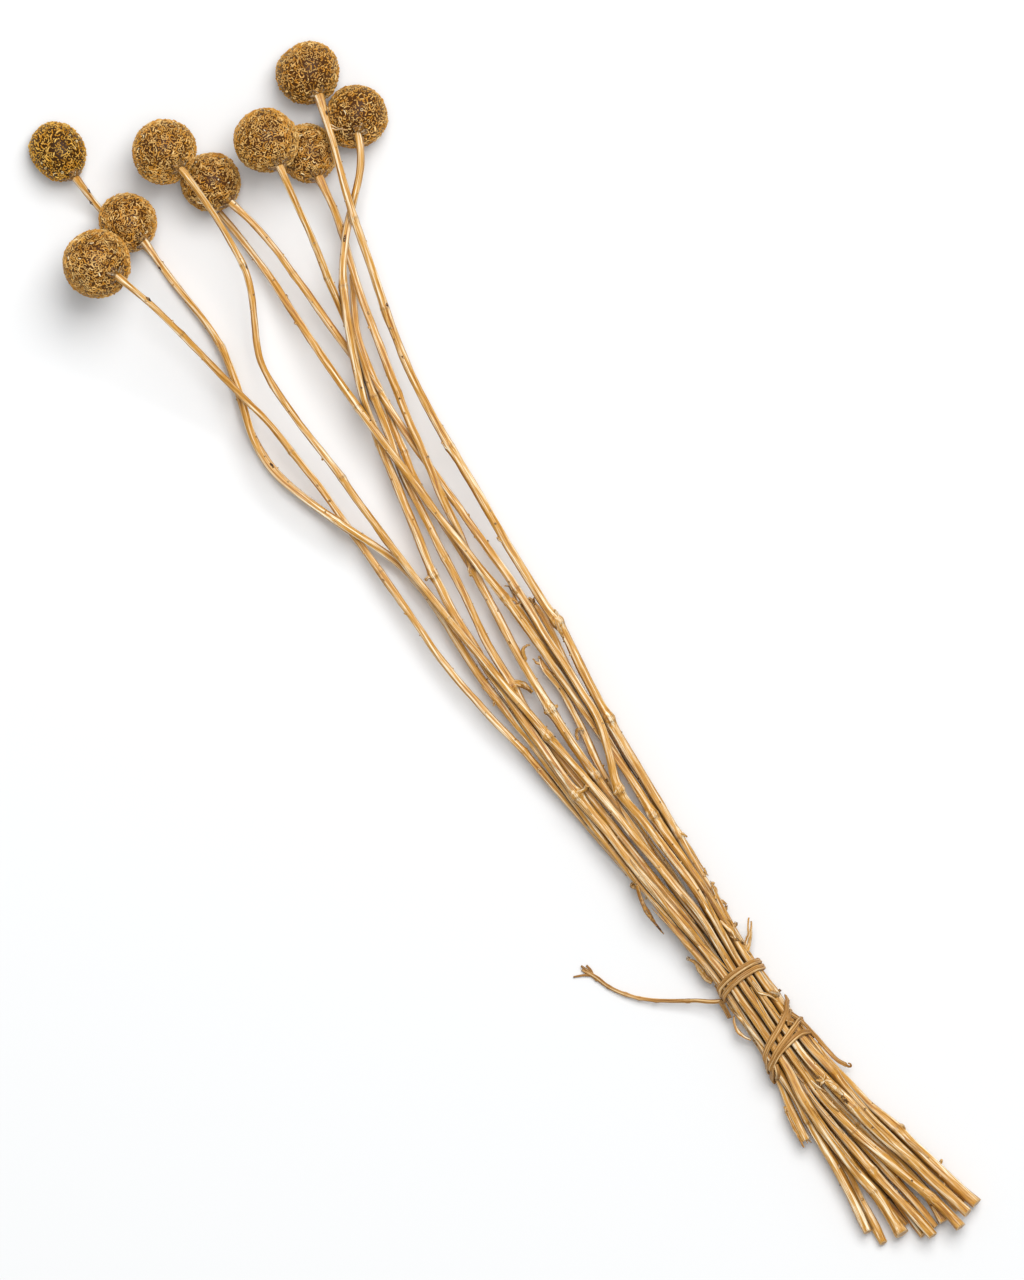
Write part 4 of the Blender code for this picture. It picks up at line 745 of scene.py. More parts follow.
# Leaf remains, curls, knobs and splinters: points as (across, along, lift off the stems), half width at
# root, middle and tip, thickness share, darkness at root and tip, and how far it is turned on edge.
BITS = (
    (((7.5, 8.0, 0.3), (9.0, 11.0, 0.6), (11.8, 13.1, 1.2), (13.2, 15.5, 1.0), (15.4, 18.2, 0.6)),
     (0.75, 0.6, 0.25), 0.5, (0.1, 0.2), 0),
    (((7.8, 7.9, 0.2), (9.9, 9.8, 0.5), (12.0, 11.9, 0.9), (13.8, 14.2, 0.9), (15.4, 16.6, 0.6)),
     (0.75, 0.6, 0.25), 0.5, (0.1, 0.3), 0),
    (((5.6, 16.4, 0.2), (6.6, 14.4, 0.9), (7.8, 12.9, 1.2), (8.3, 11.4, 0.9), (8.3, 10.2, 0.3)),
     (0.35, 0.7, 0.3), 0.45, (0.5, 0.9), 40),
    (((6.6, 21.4, 0.2), (7.3, 19.6, 0.9), (8.6, 18.6, 1.1), (8.9, 20.6, 1.2), (8.2, 22.4, 0.8)),
     (0.3, 0.6, 0.25), 0.4, (0.1, 0.2), 30),
    (((5.9, 23.4, 0.2), (6.4, 20.4, 0.8), (7.2, 17.2, 0.9), (6.8, 14.0, 0.2)),
     (0.5, 0.9, 0.4), 0.4, (0.0, 0.1), 15),
    (((9.0, 18.5, 0.0), (9.9, 18.9, 0.4), (10.6, 19.4, 0.5)), (0.5, 0.85, 0.6), 0.9, (0.3, 0.8), 0),
    (((9.2, 25.4, 0.0), (10.2, 26.0, 0.3), (10.9, 26.8, 0.3)), (0.5, 0.7, 0.5), 0.9, (0.2, 0.7), 0),
    (((8.8, 31.4, 0.1), (10.0, 32.6, 0.6), (11.2, 34.2, 0.8), (10.7, 36.0, 0.8), (9.6, 35.2, 0.6)),
     (0.5, 0.5, 0.2), 0.4, (0.1, 0.3), 20),
    (((10.2, 40.5, 0.0), (11.2, 41.5, 0.5), (11.9, 43.4, 0.5)), (0.5, 0.6, 0.4), 0.8, (0.2, 0.6), 0),
    (((-10.0, 5.6, 0.0), (-10.9, 8.2, 0.4), (-10.9, 11.6, 0.8), (-11.0, 15.2, 0.8), (-12.4, 18.0, 0.7)),
     (0.9, 1.45, 0.3), 0.22, (0.15, 0.2), 10),
    (((-12.2, 17.4, 0.6), (-12.8, 18.2, 0.9), (-12.2, 18.7, 1.2), (-11.7, 18.0, 1.0)),
     (0.35, 0.4, 0.3), 0.7, (0.5, 0.8), 0),
    (((-9.6, -4.6, 0.2), (-9.3, -8.0, 0.6), (-8.6, -12.0, 0.7), (-8.9, -17.0, 0.2)),
     (0.4, 0.8, 0.3), 0.3, (0.0, 0.2), 10),
    (((-10.2, -9.6, -0.4), (-11.6, -12.2, 0.0), (-12.1, -14.8, 0.2), (-11.6, -17.8, 0.2),
      (-9.9, -20.8, 0.2)),
     (0.3, 0.75, 0.4), 0.15, (0.0, 0.0), 5),
    (((-12.8, 52.4, 0.2), (-14.2, 48.5, 0.4), (-15.2, 44.0, 0.2), (-15.4, 37.5, 0.0), (-14.9, 31.0, -0.4)),
     (0.6, 1.05, 0.2), 0.3, (0.3, 0.9), 15),
    (((-12.4, 53.0, 0.4), (-14.2, 53.6, 0.7), (-14.8, 52.4, 0.7), (-14.0, 51.4, 0.6)),
     (0.5, 0.6, 0.4), 0.6, (0.2, 0.7), 0),
    (((5.8, -9.6, 0.1), (7.2, -11.2, 0.6), (7.9, -12.8, 0.1)), (0.9, 1.3, 0.8), 0.7, (0.5, 0.5), 0),
    (((8.0, -11.5, 0.0), (9.2, -11.4, 0.3), (10.1, -11.2, 0.4)), (0.5, 0.75, 0.55), 0.9, (0.3, 0.9), 0),
    (((1.2, -5.2, 0.2), (3.4, -8.4, 0.7), (5.4, -10.8, 0.8), (6.8, -14.2, 0.3)),
     (0.4, 0.7, 0.3), 0.35, (0.0, 0.3), 10),
    (((8.2, -17.6, 0.2), (9.4, -16.8, 0.6), (10.5, -16.0, 0.6)), (0.6, 0.7, 0.6), 0.6, (0.1, 0.2), 0),
    (((4.8, -48.8, 0.1), (3.3, -48.0, 6.0), (2.0, -47.3, 5.7)), (1.0, 0.8, 0.25), 0.5, (0.0, 0.2), 0),
    (((4.8, -48.9, 0.1), (3.4, -49.3, 5.7), (2.2, -49.9, 5.0)), (0.9, 0.75, 0.25), 0.5, (0.0, 0.2), 0),
    (((4.8, -48.9, 0.2), (5.6, -48.0, 0.8), (6.4, -46.9, 0.9)), (1.0, 0.8, 0.25), 0.5, (0.0, 0.1), 0),
    (((4.8, -48.8, 0.2), (4.6, -47.4, 0.8), (3.9, -46.0, 1.0)), (0.9, 0.7, 0.2), 0.5, (0.0, 0.2), 0),
    (((4.9, -49.0, 0.2), (6.3, -50.4, 0.8), (7.5, -52.4, 0.8)), (0.9, 0.85, 0.2), 0.45, (0.0, 0.1), 0),
    (((4.9, -49.0, 0.1), (5.8, -51.6, 0.5), (6.7, -54.8, 0.4), (7.3, -57.6, 0.1)),
     (0.9, 1.6, 0.7), 0.35, (0.0, 0.25), 0),
    (((6.6, -57.6, 0.3), (7.0, -59.4, 0.6), (7.4, -61.2, 0.2)), (0.5, 0.9, 0.5), 0.5, (0.8, 1.0), 0),
    (((0.3, -45.6, -0.1), (0.8, -48.2, 0.4), (1.4, -50.2, 0.8), (2.6, -53.2, 3.4)),
     (0.4, 0.6, 0.25), 0.4, (0.2, 0.3), 0),
    (((-13.2, -49.0, 0.1), (-14.4, -54.0, 0.1), (-15.3, -60.0, 0.1), (-16.1, -66.0, -0.2)),
     (0.7, 0.65, 0.3), 0.7, (0.1, 0.25), 0),
    (((-13.4, -61.0, -0.6), (-13.4, -63.2, -0.2), (-14.0, -65.4, 0.1)),
     (0.6, 0.5, 0.15), 0.4, (0.1, 0.5), 30),
    (((-13.9, -61.4, -0.8), (-13.2, -64.0, -0.6), (-12.7, -66.1, -0.2)),
     (0.5, 0.4, 0.2), 0.5, (0.2, 0.8), 0),
    (((-0.6, 110.5, 0.0), (0.2, 112.8, 0.9), (1.8, 113.8, 1.5), (3.1, 112.8, 1.3), (2.4, 111.4, 1.0)),
     (0.6, 0.75, 0.25), 0.3, (0.2, 0.4), 35),
    (((-8.8, 142.6, 0.3), (-7.2, 141.6, 1.2), (-5.6, 138.8, 1.3), (-4.6, 135.2, 0.6)),
     (0.6, 1.15, 0.3), 0.25, (0.2, 0.5), 20),
    (((15.6, 164.6, 0.0), (14.9, 163.4, 0.4), (14.5, 162.2, 0.3)), (0.35, 0.5, 0.3), 0.8, (0.6, 0.8), 0),
    (((18.2, 152.6, 0.3), (17.4, 150.8, 0.7), (16.9, 148.4, 0.6), (16.6, 145.6, 0.2)),
     (0.6, 0.9, 0.3), 0.4, (0.2, 0.5), 20),
)
BRACTS = 6  # round each neck


def over(lines, x, y):
    """Height of the uppermost stem at a place seen from above, or the nearest stem's beside the bundle."""
    tops, nearest = [], []
    for line in lines.values():
        if line[0][0] - 2 < y < line[0][-1] + 2:
            across, level, thick = (float(value) for value in line_at(line, y))
            aside = abs(x - across)
            if aside < thick:
                tops.append(level + math.sqrt(thick**2 - aside**2))
            nearest.append((aside - thick, level))
    return max(tops) if tops else min(nearest)[1]


def bark_strips(lines, rng):
    """Strips of bark that have split off along the stems."""
    strands = []
    for stem, start, length, turn, width, lift_start, lift_end, drift_start, drift_end in STRIPS:
        share = np.linspace(0, 1, math.ceil(length / 1.1))
        angle = np.radians(turn) + 0.2 * np.sin(share * 4.0 + start)
        lift = 0.08 + lift_start * (1 - share) ** 3 + lift_end * share**3
        route = on_stem(lines[stem], start + length * share, angle, lift)
        route[:, 0] += drift_start * (1 - share) ** 3 + drift_end * share**3
        width = width * (0.25 + 0.75 * np.sin(np.pi * share) ** 0.5)
        width = width * (1 + 0.2 * np.sin(share * 11 + start))
        wide = np.column_stack((-np.sin(angle), np.zeros(len(share)), np.cos(angle)))
        dark = 0.05 + 0.2 * (1 - np.sin(np.pi * share)) + rng.uniform(0, 0.12)
        strands.append(strand(route, width, dark=dark, flat=0.3, wide=wide))
    return strands


def leaf_remains(lines, rng):
    """The leaf remains, curls, knobs and splinters, each lifted off the stems under it."""
    strands = []
    for points, (root, middle, tip), flat, (dark_root, dark_tip), edge in BITS:
        route = smooth_route([(x, y, over(lines, x, y) + lift) for x, y, lift in points], 0.4)
        share = np.linspace(0, 1, len(route))
        girth = np.interp(share, (0, 0.5, 1), (root, middle, tip)) * (1 + 0.08 * np.sin(share * 14))
        route[1:-1] += rng.normal(0, 0.04, (len(route) - 2, 3))
        aside = unit(np.cross(np.gradient(route, axis=0), (0.0, 0.0, 1.0)))
        wide = aside * math.cos(math.radians(edge)) + np.array((0, 0, math.sin(math.radians(edge))))
        dark = dark_root + (dark_tip - dark_root) * share
        strands.append(strand(route, girth, dark=dark, flat=flat, wide=wide))
    return strands


def neck_bracts(rng):
    """The small dry leaves round each neck, pressed onto the florets."""
    strands = []
    for head, (centre, across, along, (x, y)) in HEADS.items():
        centre = np.array(centre)
        neck = unit(np.array((x, y, neck_height(head))) - centre)
        first = unit(np.cross(neck, (0.0, 0.0, 1.0)))
        second = np.cross(neck, first)
        for number in range(BRACTS):
            turn = math.tau * (number + rng.uniform(-0.3, 0.3)) / BRACTS
            aside = math.cos(turn) * first + math.sin(turn) * second
            spread = np.linspace(0.09, rng.uniform(0.28, 0.42), 7)[:, None]
            way = np.cos(spread) * neck + np.sin(spread) * aside
            reach = along - (along - across) * (1 - way @ neck)[:, None] + 0.15
            route = centre + way * reach + neck * np.linspace(0.5, 0, 7)[:, None]
            route[:, 2] = np.maximum(route[:, 2], 0.2)
            girth = rng.uniform(0.8, 1.2) * np.interp(spread[:, 0], (0.09, 0.2, 0.42), (0.9, 1.1, 0.3))
            wide = np.cross(neck, aside)
            strands.append(strand(route, girth, dark=np.linspace(0.6, 0.85, 7), flat=0.3, wide=wide))
    return strands


def make_bark(stalks, lines):
    """One rigid piece of all that has split off the stems or is caught among them, and of the bracts."""
    rng = np.random.default_rng(BARK_SEED)
    strands = bark_strips(lines, rng) + leaf_remains(lines, rng) + neck_bracts(rng)
    piece = grown("bark_and_leaf_remains", stalks, guide_lines("bark", strands), Sides=10, Flutes=3,
                  Flute_depth=0.12, Lump_height=0.3 * MM, Seed=60.0, Finish=FINISHES["dried_stem"])
    shown(piece, slot="dried_stem")


# Heads.

CORE_DEPTH = 0.1  # the core lies this far under the CAD head, and the florets stand on it
CORE_SWELLS = 26
WORN_HEADS = ("head_1", "head_8", "head_9")
FLORET_ROOT = -0.9  # a floret's foot, sunk in the core


def floret_ring(radius, height, turn=0.0):
    """A ring of five corners."""
    angles = turn + np.arange(5) * math.tau / 5
    return [(radius * math.cos(a), radius * math.sin(a), height) for a in angles]


def floret_cup():
    """An open floret: its tube, its toothed rim and the hollow inside, with how high each corner stands."""
    corners = [*floret_ring(0.3, FLORET_ROOT), *floret_ring(0.46, 0.05), *floret_ring(0.34, 0.14, 0.6),
               *floret_ring(0.12, -0.2), (0, 0, -0.3)]
    faces = []
    for i in range(5):
        j = (i + 1) % 5
        faces += [(i, j, 5 + j, 5 + i), (5 + i, 5 + j, 10 + i), (5 + j, 10 + j, 10 + i),
                  (10 + i, 10 + j, 15 + j, 15 + i), (15 + i, 15 + j, 20)]
    return corners, faces, [0.0] * 5 + [0.75] * 5 + [1.0] * 5 + [0.2] * 5 + [0.0]


def floret_bud():
    """A closed floret, pointed at its top."""
    corners = [*floret_ring(0.3, FLORET_ROOT), *floret_ring(0.34, -0.15, 0.3),
               *floret_ring(0.18, 0.16, 0.6), (0.05, 0, 0.26)]
    faces = []
    for i in range(5):
        j = (i + 1) % 5
        faces += [(i, j, 5 + j, 5 + i), (5 + i, 5 + j, 10 + j, 10 + i), (10 + i, 10 + j, 15)]
    return corners, faces, [0.0] * 5 + [0.6] * 5 + [0.9] * 5 + [1.0]


def floret_grain(bend, length, width):
    """A floret fallen on its side: a ridge along an arc of some radians, with its foot sunk in the core."""
    steps = 5
    corners, faces = [], []
    for k in range(steps):
        angle = -length / 2 + length * k / (steps - 1)
        bow = math.sin(math.pi * k / (steps - 1))
        centre = np.array((bend * (math.cos(angle) - 0.9), bend * math.sin(angle), 0))
        side = np.array((math.cos(angle), math.sin(angle), 0)) * width
        crest = side * (0.4 + 0.6 * bow) * 0.8
        top = 0.1 + 0.08 * bow
        corners += [tuple(centre - side * 1.3 + (0, 0, -0.8)), tuple(centre - crest + (0, 0, top - 0.1)),
                    tuple(centre + crest + (0, 0, top)), tuple(centre + side * 1.3 + (0, 0, -0.8))]
    for a in range(0, 4 * steps - 4, 4):
        faces += [(a, a + 1, a + 5, a + 4), (a + 1, a + 2, a + 6, a + 5), (a + 2, a + 3, a + 7, a + 6)]
    faces += [(0, 3, 2, 1), (4 * steps - 4, 4 * steps - 3, 4 * steps - 2, 4 * steps - 1)]
    # Turned round, so that they face outwards.
    return corners, [face[::-1] for face in faces], [0.0, 0.85, 1.0, 0.0] * steps


def floret_shapes():
    """A collection of small dry florets: three open cups, two like rice grains, a curled one and a bud."""
    kinds = bpy.data.collections.new("florets")
    cup, faces, rises = floret_cup()
    shapes = {
        "floret_a_" + name: ([(longer * x, wider * y, z) for x, y, z in cup], faces, rises)
        for name, longer, wider in (("cup", 1.0, 1.0), ("oval_cup", 1.4, 0.85), ("wide_cup", 1.3, 1.15))}
    shapes["floret_b_rice"] = floret_grain(2.2, 0.6, 0.2)
    shapes["floret_c_long_rice"] = floret_grain(1.3, 1.3, 0.19)
    shapes["floret_d_curl"] = floret_grain(0.42, 3.0, 0.19)
    shapes["floret_e_bud"] = floret_bud()
    for name, (corners, faces, rises) in shapes.items():
        mesh = bpy.data.meshes.new(name)
        mesh.from_pydata(corners, [], faces)
        keep_values(mesh, "rise", rises)
        kinds.objects.link(bpy.data.objects.new(name, mesh))
    return kinds


def neck_height(head):
    """Height of the point where the neck meets the head."""
    centre, across, along, (x, y) = HEADS[head]
    radius = (across + along) / 2
    return centre[2] + 0.95 * math.sqrt(radius**2 - math.hypot(x - centre[0], y - centre[1]) ** 2)


def head_core(head, rng):
    """The solid core under a head's florets, uneven, and dimpled where the neck goes in."""
    centre, across, along, (x, y) = HEADS[head]
    neck = Vector((x, y, neck_height(head)))
    upright = (Vector(centre) - neck).to_track_quat("Z", "Y")
    form = bmesh.new()
    bmesh.ops.create_icosphere(form, subdivisions=4, radius=1.0)
    ways = unit(rng.normal(0, 1, (CORE_SWELLS, 3)))
    swells = rng.uniform(-0.045, 0.05, CORE_SWELLS)
    for vertex in form.verts:
        swell = float((swells * np.exp((ways @ np.array(vertex.co) - 1) * 9)).sum())
        dimple = 0.10 * math.exp((-vertex.co.z - 1) * 30)
        at = Vector((vertex.co.x * (across - CORE_DEPTH), vertex.co.y * (across - CORE_DEPTH),
                     vertex.co.z * (along - CORE_DEPTH)))
        vertex.co = (upright @ (at * (1 + swell - dimple)) + Vector(centre) - Vector(BUNCH_MIDDLE)) * MM
    mesh = bpy.data.meshes.new(head)
    form.to_mesh(mesh)
    form.free()
    return new_object(head + "_core", mesh)


def make_heads(florets):
    """A ball of packed florets for each head."""
    kinds = floret_shapes()
    for number, head in enumerate(HEADS):
        slot = "dark_dried_floret" if head == "head_1" else "dried_floret"
        # The most weathered heads have lost florets, so theirs stand wider apart and lean more.
        worn = head in WORN_HEADS
        core = head_core(head, np.random.default_rng(HEAD_SEED + number))
        piece = grown(head + "_florets", florets, core, Spacing=(0.94 if worn else 0.8) * MM,
                      Floret_size=1.25 * MM, Lean=0.45 if worn else 0.28, Seed=number, Florets=kinds,
                      Finish=FINISHES[slot])
        shown(piece, head, slot=slot)
    for kind in list(kinds.objects):
        bpy.data.objects.remove(kind)
    bpy.data.collections.remove(kinds)


# Bindings.

TURN_STEP = 5.0  # degrees
# The upper binding's tail: its length, the knots along it, and the bend and tip of each frayed end.
TAIL_LENGTH = 66.0
TAIL_KNOTS = (14.0, 22.5, 28.5, 36.0, 50.0)
TAIL_FRAYS = (
    ((-48.0, 34.5, 0.9), (-52.5, 36.7, 0.7)), ((-46.6, 35.5, 1.3), (-47.7, 38.6, 1.6)),
    ((-45.6, 35.0, 0.9), (-45.9, 37.6, 0.6)))
# The lower binding's curled tip, and its ends tucked in among the stems, as (across, along).
TIE_2_CURL = ((15.3, -50.0, 6.6), (16.0, -50.4, 7.2), (16.3, -49.5, 7.8), (15.7, -48.8, 7.9))
TIE_2_TUCKS = (
    ((4.6, -19.2), (6.0, -21.8), (7.6, -23.8)), ((8.6, -19.4), (7.0, -21.4), (5.4, -24.4)),
    ((-7.6, -35.4), (-9.2, -33.4), (-10.8, -32.2)), ((-9.8, -38.6), (-8.4, -36.6), (-7.4, -33.8)))


def wound(knots, lines):
    """A strand's middle line, wound round the outside of the stems, and the way out at each point."""
    turns, places, lifts = np.array(sorted(knots), float).T
    count = math.ceil((turns[-1] - turns[0]) / TURN_STEP)
    points, outs = [], []
    for turn in np.linspace(turns[0], turns[-1], count + 1):
        place = float(smooth_value(list(zip(turns, places)), turn))
        out = np.array((math.cos(math.radians(turn)), math.sin(math.radians(turn))))
        reached = []
        for line in lines.values():
            if line[0][0] < place < line[0][-1]:
                across, height, thick = line_at(line, place)
                middle = np.array((across, height))
                reached.append((float(middle @ out) + thick, middle, thick))
        _, middle, thick = max(reached, key=lambda found: found[0])
        lift = STRAND_RADIUS + STRAND_CLEARANCE + float(np.interp(turn, turns, lifts))
        x, z = middle + out * (thick + lift)
        if z < STRAND_FOOT + STRAND_SAG:
            z = STRAND_FOOT
        points.append((x, place, z))
        outs.append((out[0], 0.0, out[1]))
    points = np.array(points)
    for column in range(3):
        points[:, column] = softened(points[:, column], 2)
    return points, np.array(outs)


def fibres(route, outs, spread, twist, girths, rng, flat=0.65, dark=0.12):
    """Flat fibres that run side by side along a route and slowly turn round each other."""
    outs = np.broadcast_to(outs, route.shape)
    ahead = unit(np.gradient(route, axis=0))
    up = unit(outs - (outs * ahead).sum(1)[:, None] * ahead)
    aside = np.cross(ahead, up)
    run = run_along(route)
    strands = []
    for number, girth in enumerate(girths):
        angle = math.tau * number / len(girths) + 0.5 * np.sin(twist * run + number)
        line = route + aside * (spread * np.cos(angle))[:, None]
        line = line + up * (0.3 * spread * np.sin(angle))[:, None]
        line[:, 2] = np.maximum(line[:, 2], girth * 0.5)
        thick = girth * (1 + 0.12 * np.sin(run / 3.1 + 2.0 * number) + rng.normal(0, 0.02, len(run)))
        shade = dark + 0.12 * np.sin(run / 5.0 + number)
        strands.append(strand(line, thick, dark=shade, flat=flat, wide=aside))
    return strands


def tie_1_strands(lines, rng):
    """The upper binding: two turns, its long tail with a frayed tip, and its short end."""
    turns, outs = wound(TIE_1_TURNS, lines)
    strands = fibres(turns, outs, 0.55, 0.16, (0.66, 0.66), rng)
    tail = smooth_route((*TIE_1_TAIL, turns[-1]), 0.8)
    share = np.linspace(0, 1, len(tail))
    thick = np.interp(share, (0, 0.04, 0.13, 0.2, 1), (0.5, 0.75, 0.95, 0.74, 0.8))
    run = share * TAIL_LENGTH
    for knot in TAIL_KNOTS:
        thick = thick * (1 + 0.22 * bulge(run, knot, 0.9))
        tail[:, 1] += 0.25 * np.exp(-np.abs(run - knot) / 2.5) * np.sign(np.sin(knot * 1.7))
    strands.append(strand(tail, thick, dark=0.12 + 0.12 * np.sin(run / 6), flat=0.85))
    for bend, tip in TAIL_FRAYS:
        frayed = smooth_route(((-45.6, 30.5, 1.1), (-46.0, 32.8, 1.1), bend, tip), 0.7)
        share = np.linspace(0, 1, len(frayed))
        strands.append(strand(frayed, 0.7 - 0.35 * share, dark=0.1 + 0.3 * share, flat=0.35))
    short = smooth_route(TIE_1_SHORT_END, 0.6)
    return strands + fibres(short, (-0.8, 0.0, 0.6), 0.5, 0.2, (0.8, 0.72), rng, dark=0.25)


def tie_2_strands(lines, rng):
    """The lower binding: two slanting turns, a turn across them, its loose end and its tucked-in ends."""
    turns, outs = wound(TIE_2_TURNS, lines)
    strands = fibres(turns, outs, 0.55, 0.14, (0.66, 0.64), rng)
    crossing, outs = wound(TIE_2_CROSSING, lines)
    strands += fibres(crossing, outs, 0.5, 0.15, (0.62, 0.6), rng)
    # The loose end lies a little left of the CAD one, and as low as the stems under it let it.
    route = [(x - 0.9, y, max(z - 0.4, over(lines, x - 0.9, y) + 0.3)) for x, y, z in TIE_2_LOOSE_END[:-1]]
    loose = smooth_route((*route, TIE_2_LOOSE_END[-1]), 0.7)
    strands += fibres(loose, (0.6, 0.0, 0.8), 0.4, 0.1, (0.62, 0.52), rng, flat=0.55)
    curl = smooth_route((loose[-2], *TIE_2_CURL), 0.35)
    strands.append(strand(curl, np.linspace(0.55, 0.3, len(curl)), dark=0.25, flat=0.5))
    for points in TIE_2_TUCKS:
        tuck = smooth_route([(x, y, over(lines, x, y) + 1.5) for x, y in points], 0.5)
        strands += fibres(tuck, (0.0, 0.0, 1.0), 0.45, 0.2, (0.55, 0.5), rng)
    return strands


def make_bindings(stalks, lines):
    """The two bindings, each of split stalk laid side by side in flat fibres."""
    rng = np.random.default_rng(BINDING_SEED)
    for tie, strands in (("tie_1", tie_1_strands(lines, rng)), ("tie_2", tie_2_strands(lines, rng))):
        piece = grown(tie + "_split_stalk", stalks, guide_lines(tie, strands), Sides=14, Flutes=4,
                      Flute_depth=0.12, Lump_height=0.2 * MM, Seed=40.0, Finish=FINISHES["split_stalk"])
        shown(piece, tie, slot="split_stalk")


# Finishes.

DUST_TINT = "#EABC66"


def finish(name, colours, roughness, specular, dust, build):
    """A new Principled material; dust is its sheen, and build links its colour and bump."""
    made = bpy.data.materials.new(name)
    made.use_nodes = True
    tree = made.node_tree
    shader = tree.nodes["Principled BSDF"]
    shader.inputs["Roughness"].default_value = roughness
    shader.inputs["Metallic"].default_value = 0
    shader.inputs["IOR"].default_value = 1.5
    shader.inputs["Specular IOR Level"].default_value = specular
    shader.inputs["Sheen Weight"].default_value = dust
    shader.inputs["Sheen Roughness"].default_value = 0.5
    shader.inputs["Sheen Tint"].default_value = linear(DUST_TINT)
    build(tree, shader, [linear(colour) for colour in colours])
    return made


def layer(tree, under, colour, value, start, end, most=1.0, within=1.0):
    """Paints a colour on what is under it as a value goes from start to end; also gives its share."""
    share = node(tree, "ShaderNodeMapRange", {
        "Value": value, "From Min": start, "From Max": end, "To Max": most})
    share = node(tree, "ShaderNodeMath", {0: share, 1: within}, operation="MULTIPLY")
    return node(tree, "ShaderNodeMix", {0: share, 6: under, 7: colour}, data_type="RGBA"), share


def straw(tree, shader, colours):
    """Dry woody stalk: pale satin ridges, partly painted highlight; orange-brown furrows, partly painted
    shade; fine fibres, dark scars, painted shade between stems, pale cut face.
    """
    base, light, brown, scar, wood, pith = colours
    kept = {label: node(tree, "ShaderNodeAttribute", attribute_name=label).outputs
            for label in ("fibre", "ridge", "dark", "cut", "crevice_shade")}
    fibre = kept["fibre"]["Vector"]
    # Fibres are about 0.1 mm wide; they are drawn 0.3 mm wide and 12 mm long so that they show.
    fine = node(tree, "ShaderNodeVectorMath", {0: fibre, 1: (3.2, 3.2, 0.08)}, operation="MULTIPLY")
    streaks = node(tree, "ShaderNodeTexNoise", {
        "Vector": fine, "Scale": 1.0, "Detail": 3.0, "Roughness": 0.6})
    raised = node(tree, "ShaderNodeMath", {0: streaks, 1: 3.6, 2: -1.8}, operation="MULTIPLY_ADD")
    raised = node(tree, "ShaderNodeMath", {0: kept["ridge"]["Fac"], 1: 0.7, 2: raised},
                  operation="MULTIPLY_ADD")
    # Weathered zones, 15 to 40 mm long.
    broad = node(tree, "ShaderNodeVectorMath", {0: fibre, 1: (0.35, 0.35, 0.035)}, operation="MULTIPLY")
    zones = node(tree, "ShaderNodeTexNoise", {"Vector": broad, "Scale": 1.0, "Detail": 2.0})
    # Scars are broken up by specks of about 0.5 mm.
    specks = node(tree, "ShaderNodeTexNoise", {"Vector": fibre, "Scale": 1.7, "Detail": 2.0})
    specks = node(tree, "ShaderNodeMapRange", {
        "Value": specks, "From Min": 0.35, "From Max": 0.6, "To Min": 0.35, "To Max": 1.3})
    colour = base
    for paint, value, start, end, most, within in (
            # Pale on the ridges and raised fibres: partly the stalk's own pale fibre, partly painted
            # highlight.
            (light, raised, 0.05, 0.8, 1.0, 1.0),
            (base, zones, 0.5, 0.75, 0.5, 1.0),
            # Brown in the furrows: partly the stalk's own brown, partly painted shade.
            (brown, raised, -0.1, -0.8, 0.9, 1.0),
            # Painted shade: the scar brown darkens the skin where another stem lies close.
            (scar, kept["crevice_shade"]["Fac"], 0.0, 1.0, 1.0, 1.0),
            (scar, kept["dark"]["Fac"], 0.0, 1.0, 1.0, specks),
            (wood, kept["cut"]["Fac"], 0.4, 0.8, 1.0, 1.0),
            (pith, kept["cut"]["Fac"], 1.15, 1.5, 1.0, 1.0)):
        colour, _ = layer(tree, colour, paint, value, start, end, most, within)
    bump = node(tree, "ShaderNodeBump", {"Strength": 0.6, "Distance": 0.3 * MM, "Height": streaks})
    tree.links.new(colour.outputs["Result"], shader.inputs["Base Color"])
    tree.links.new(bump.outputs[0], shader.inputs["Normal"])


def floret(tree, shader, colours):
    """Dry floret: pale tips, partly dust and partly painted highlight, over brown pits, partly painted
    shade, golden patches and a few bleached tips.
    """
    pit, body, tip, gold, bleached = colours
    rise = node(tree, "ShaderNodeAttribute", attribute_name="rise").outputs["Fac"]
    tone = node(tree, "ShaderNodeAttribute", attribute_name="tone").outputs["Fac"]
    place = node(tree, "ShaderNodeTexCoord").outputs["Object"]
    # Dull zones of about 8 mm, where the florets have lost their dusty skin.
    zone = node(tree, "ShaderNodeTexNoise", {"Vector": place, "Scale": 125.0, "Detail": 1.0})
    # Patches of about 3 mm, as the clusters of florets that open together.
    patch = node(tree, "ShaderNodeTexNoise", {"Vector": place, "Scale": 330.0, "Detail": 2.0})
    dust_and_highlight = node(tree, "ShaderNodeMapRange", {"Value": tone, "From Min": 0.2, "From Max": 1.0})
    # Painted shade: dark brown at the florets' feet and on the core between them, partly their own colour.
    colour, lower = layer(tree, pit, body, rise, 0.0, 0.45)
    colour, _ = layer(tree, colour, pit, zone, 0.42, 0.65, most=0.42)
    # Pale tips by each floret's tone, partly dust and partly painted highlight.
    colour, upper = layer(tree, colour, tip, rise, 0.5, 1.0, within=dust_and_highlight)
    colour, _ = layer(tree, colour, gold, patch, 0.48, 0.68, most=0.5, within=lower)
    colour, _ = layer(tree, colour, bleached, tone, 0.985, 0.99, within=upper)
    tree.links.new(colour.outputs["Result"], shader.inputs["Base Color"])


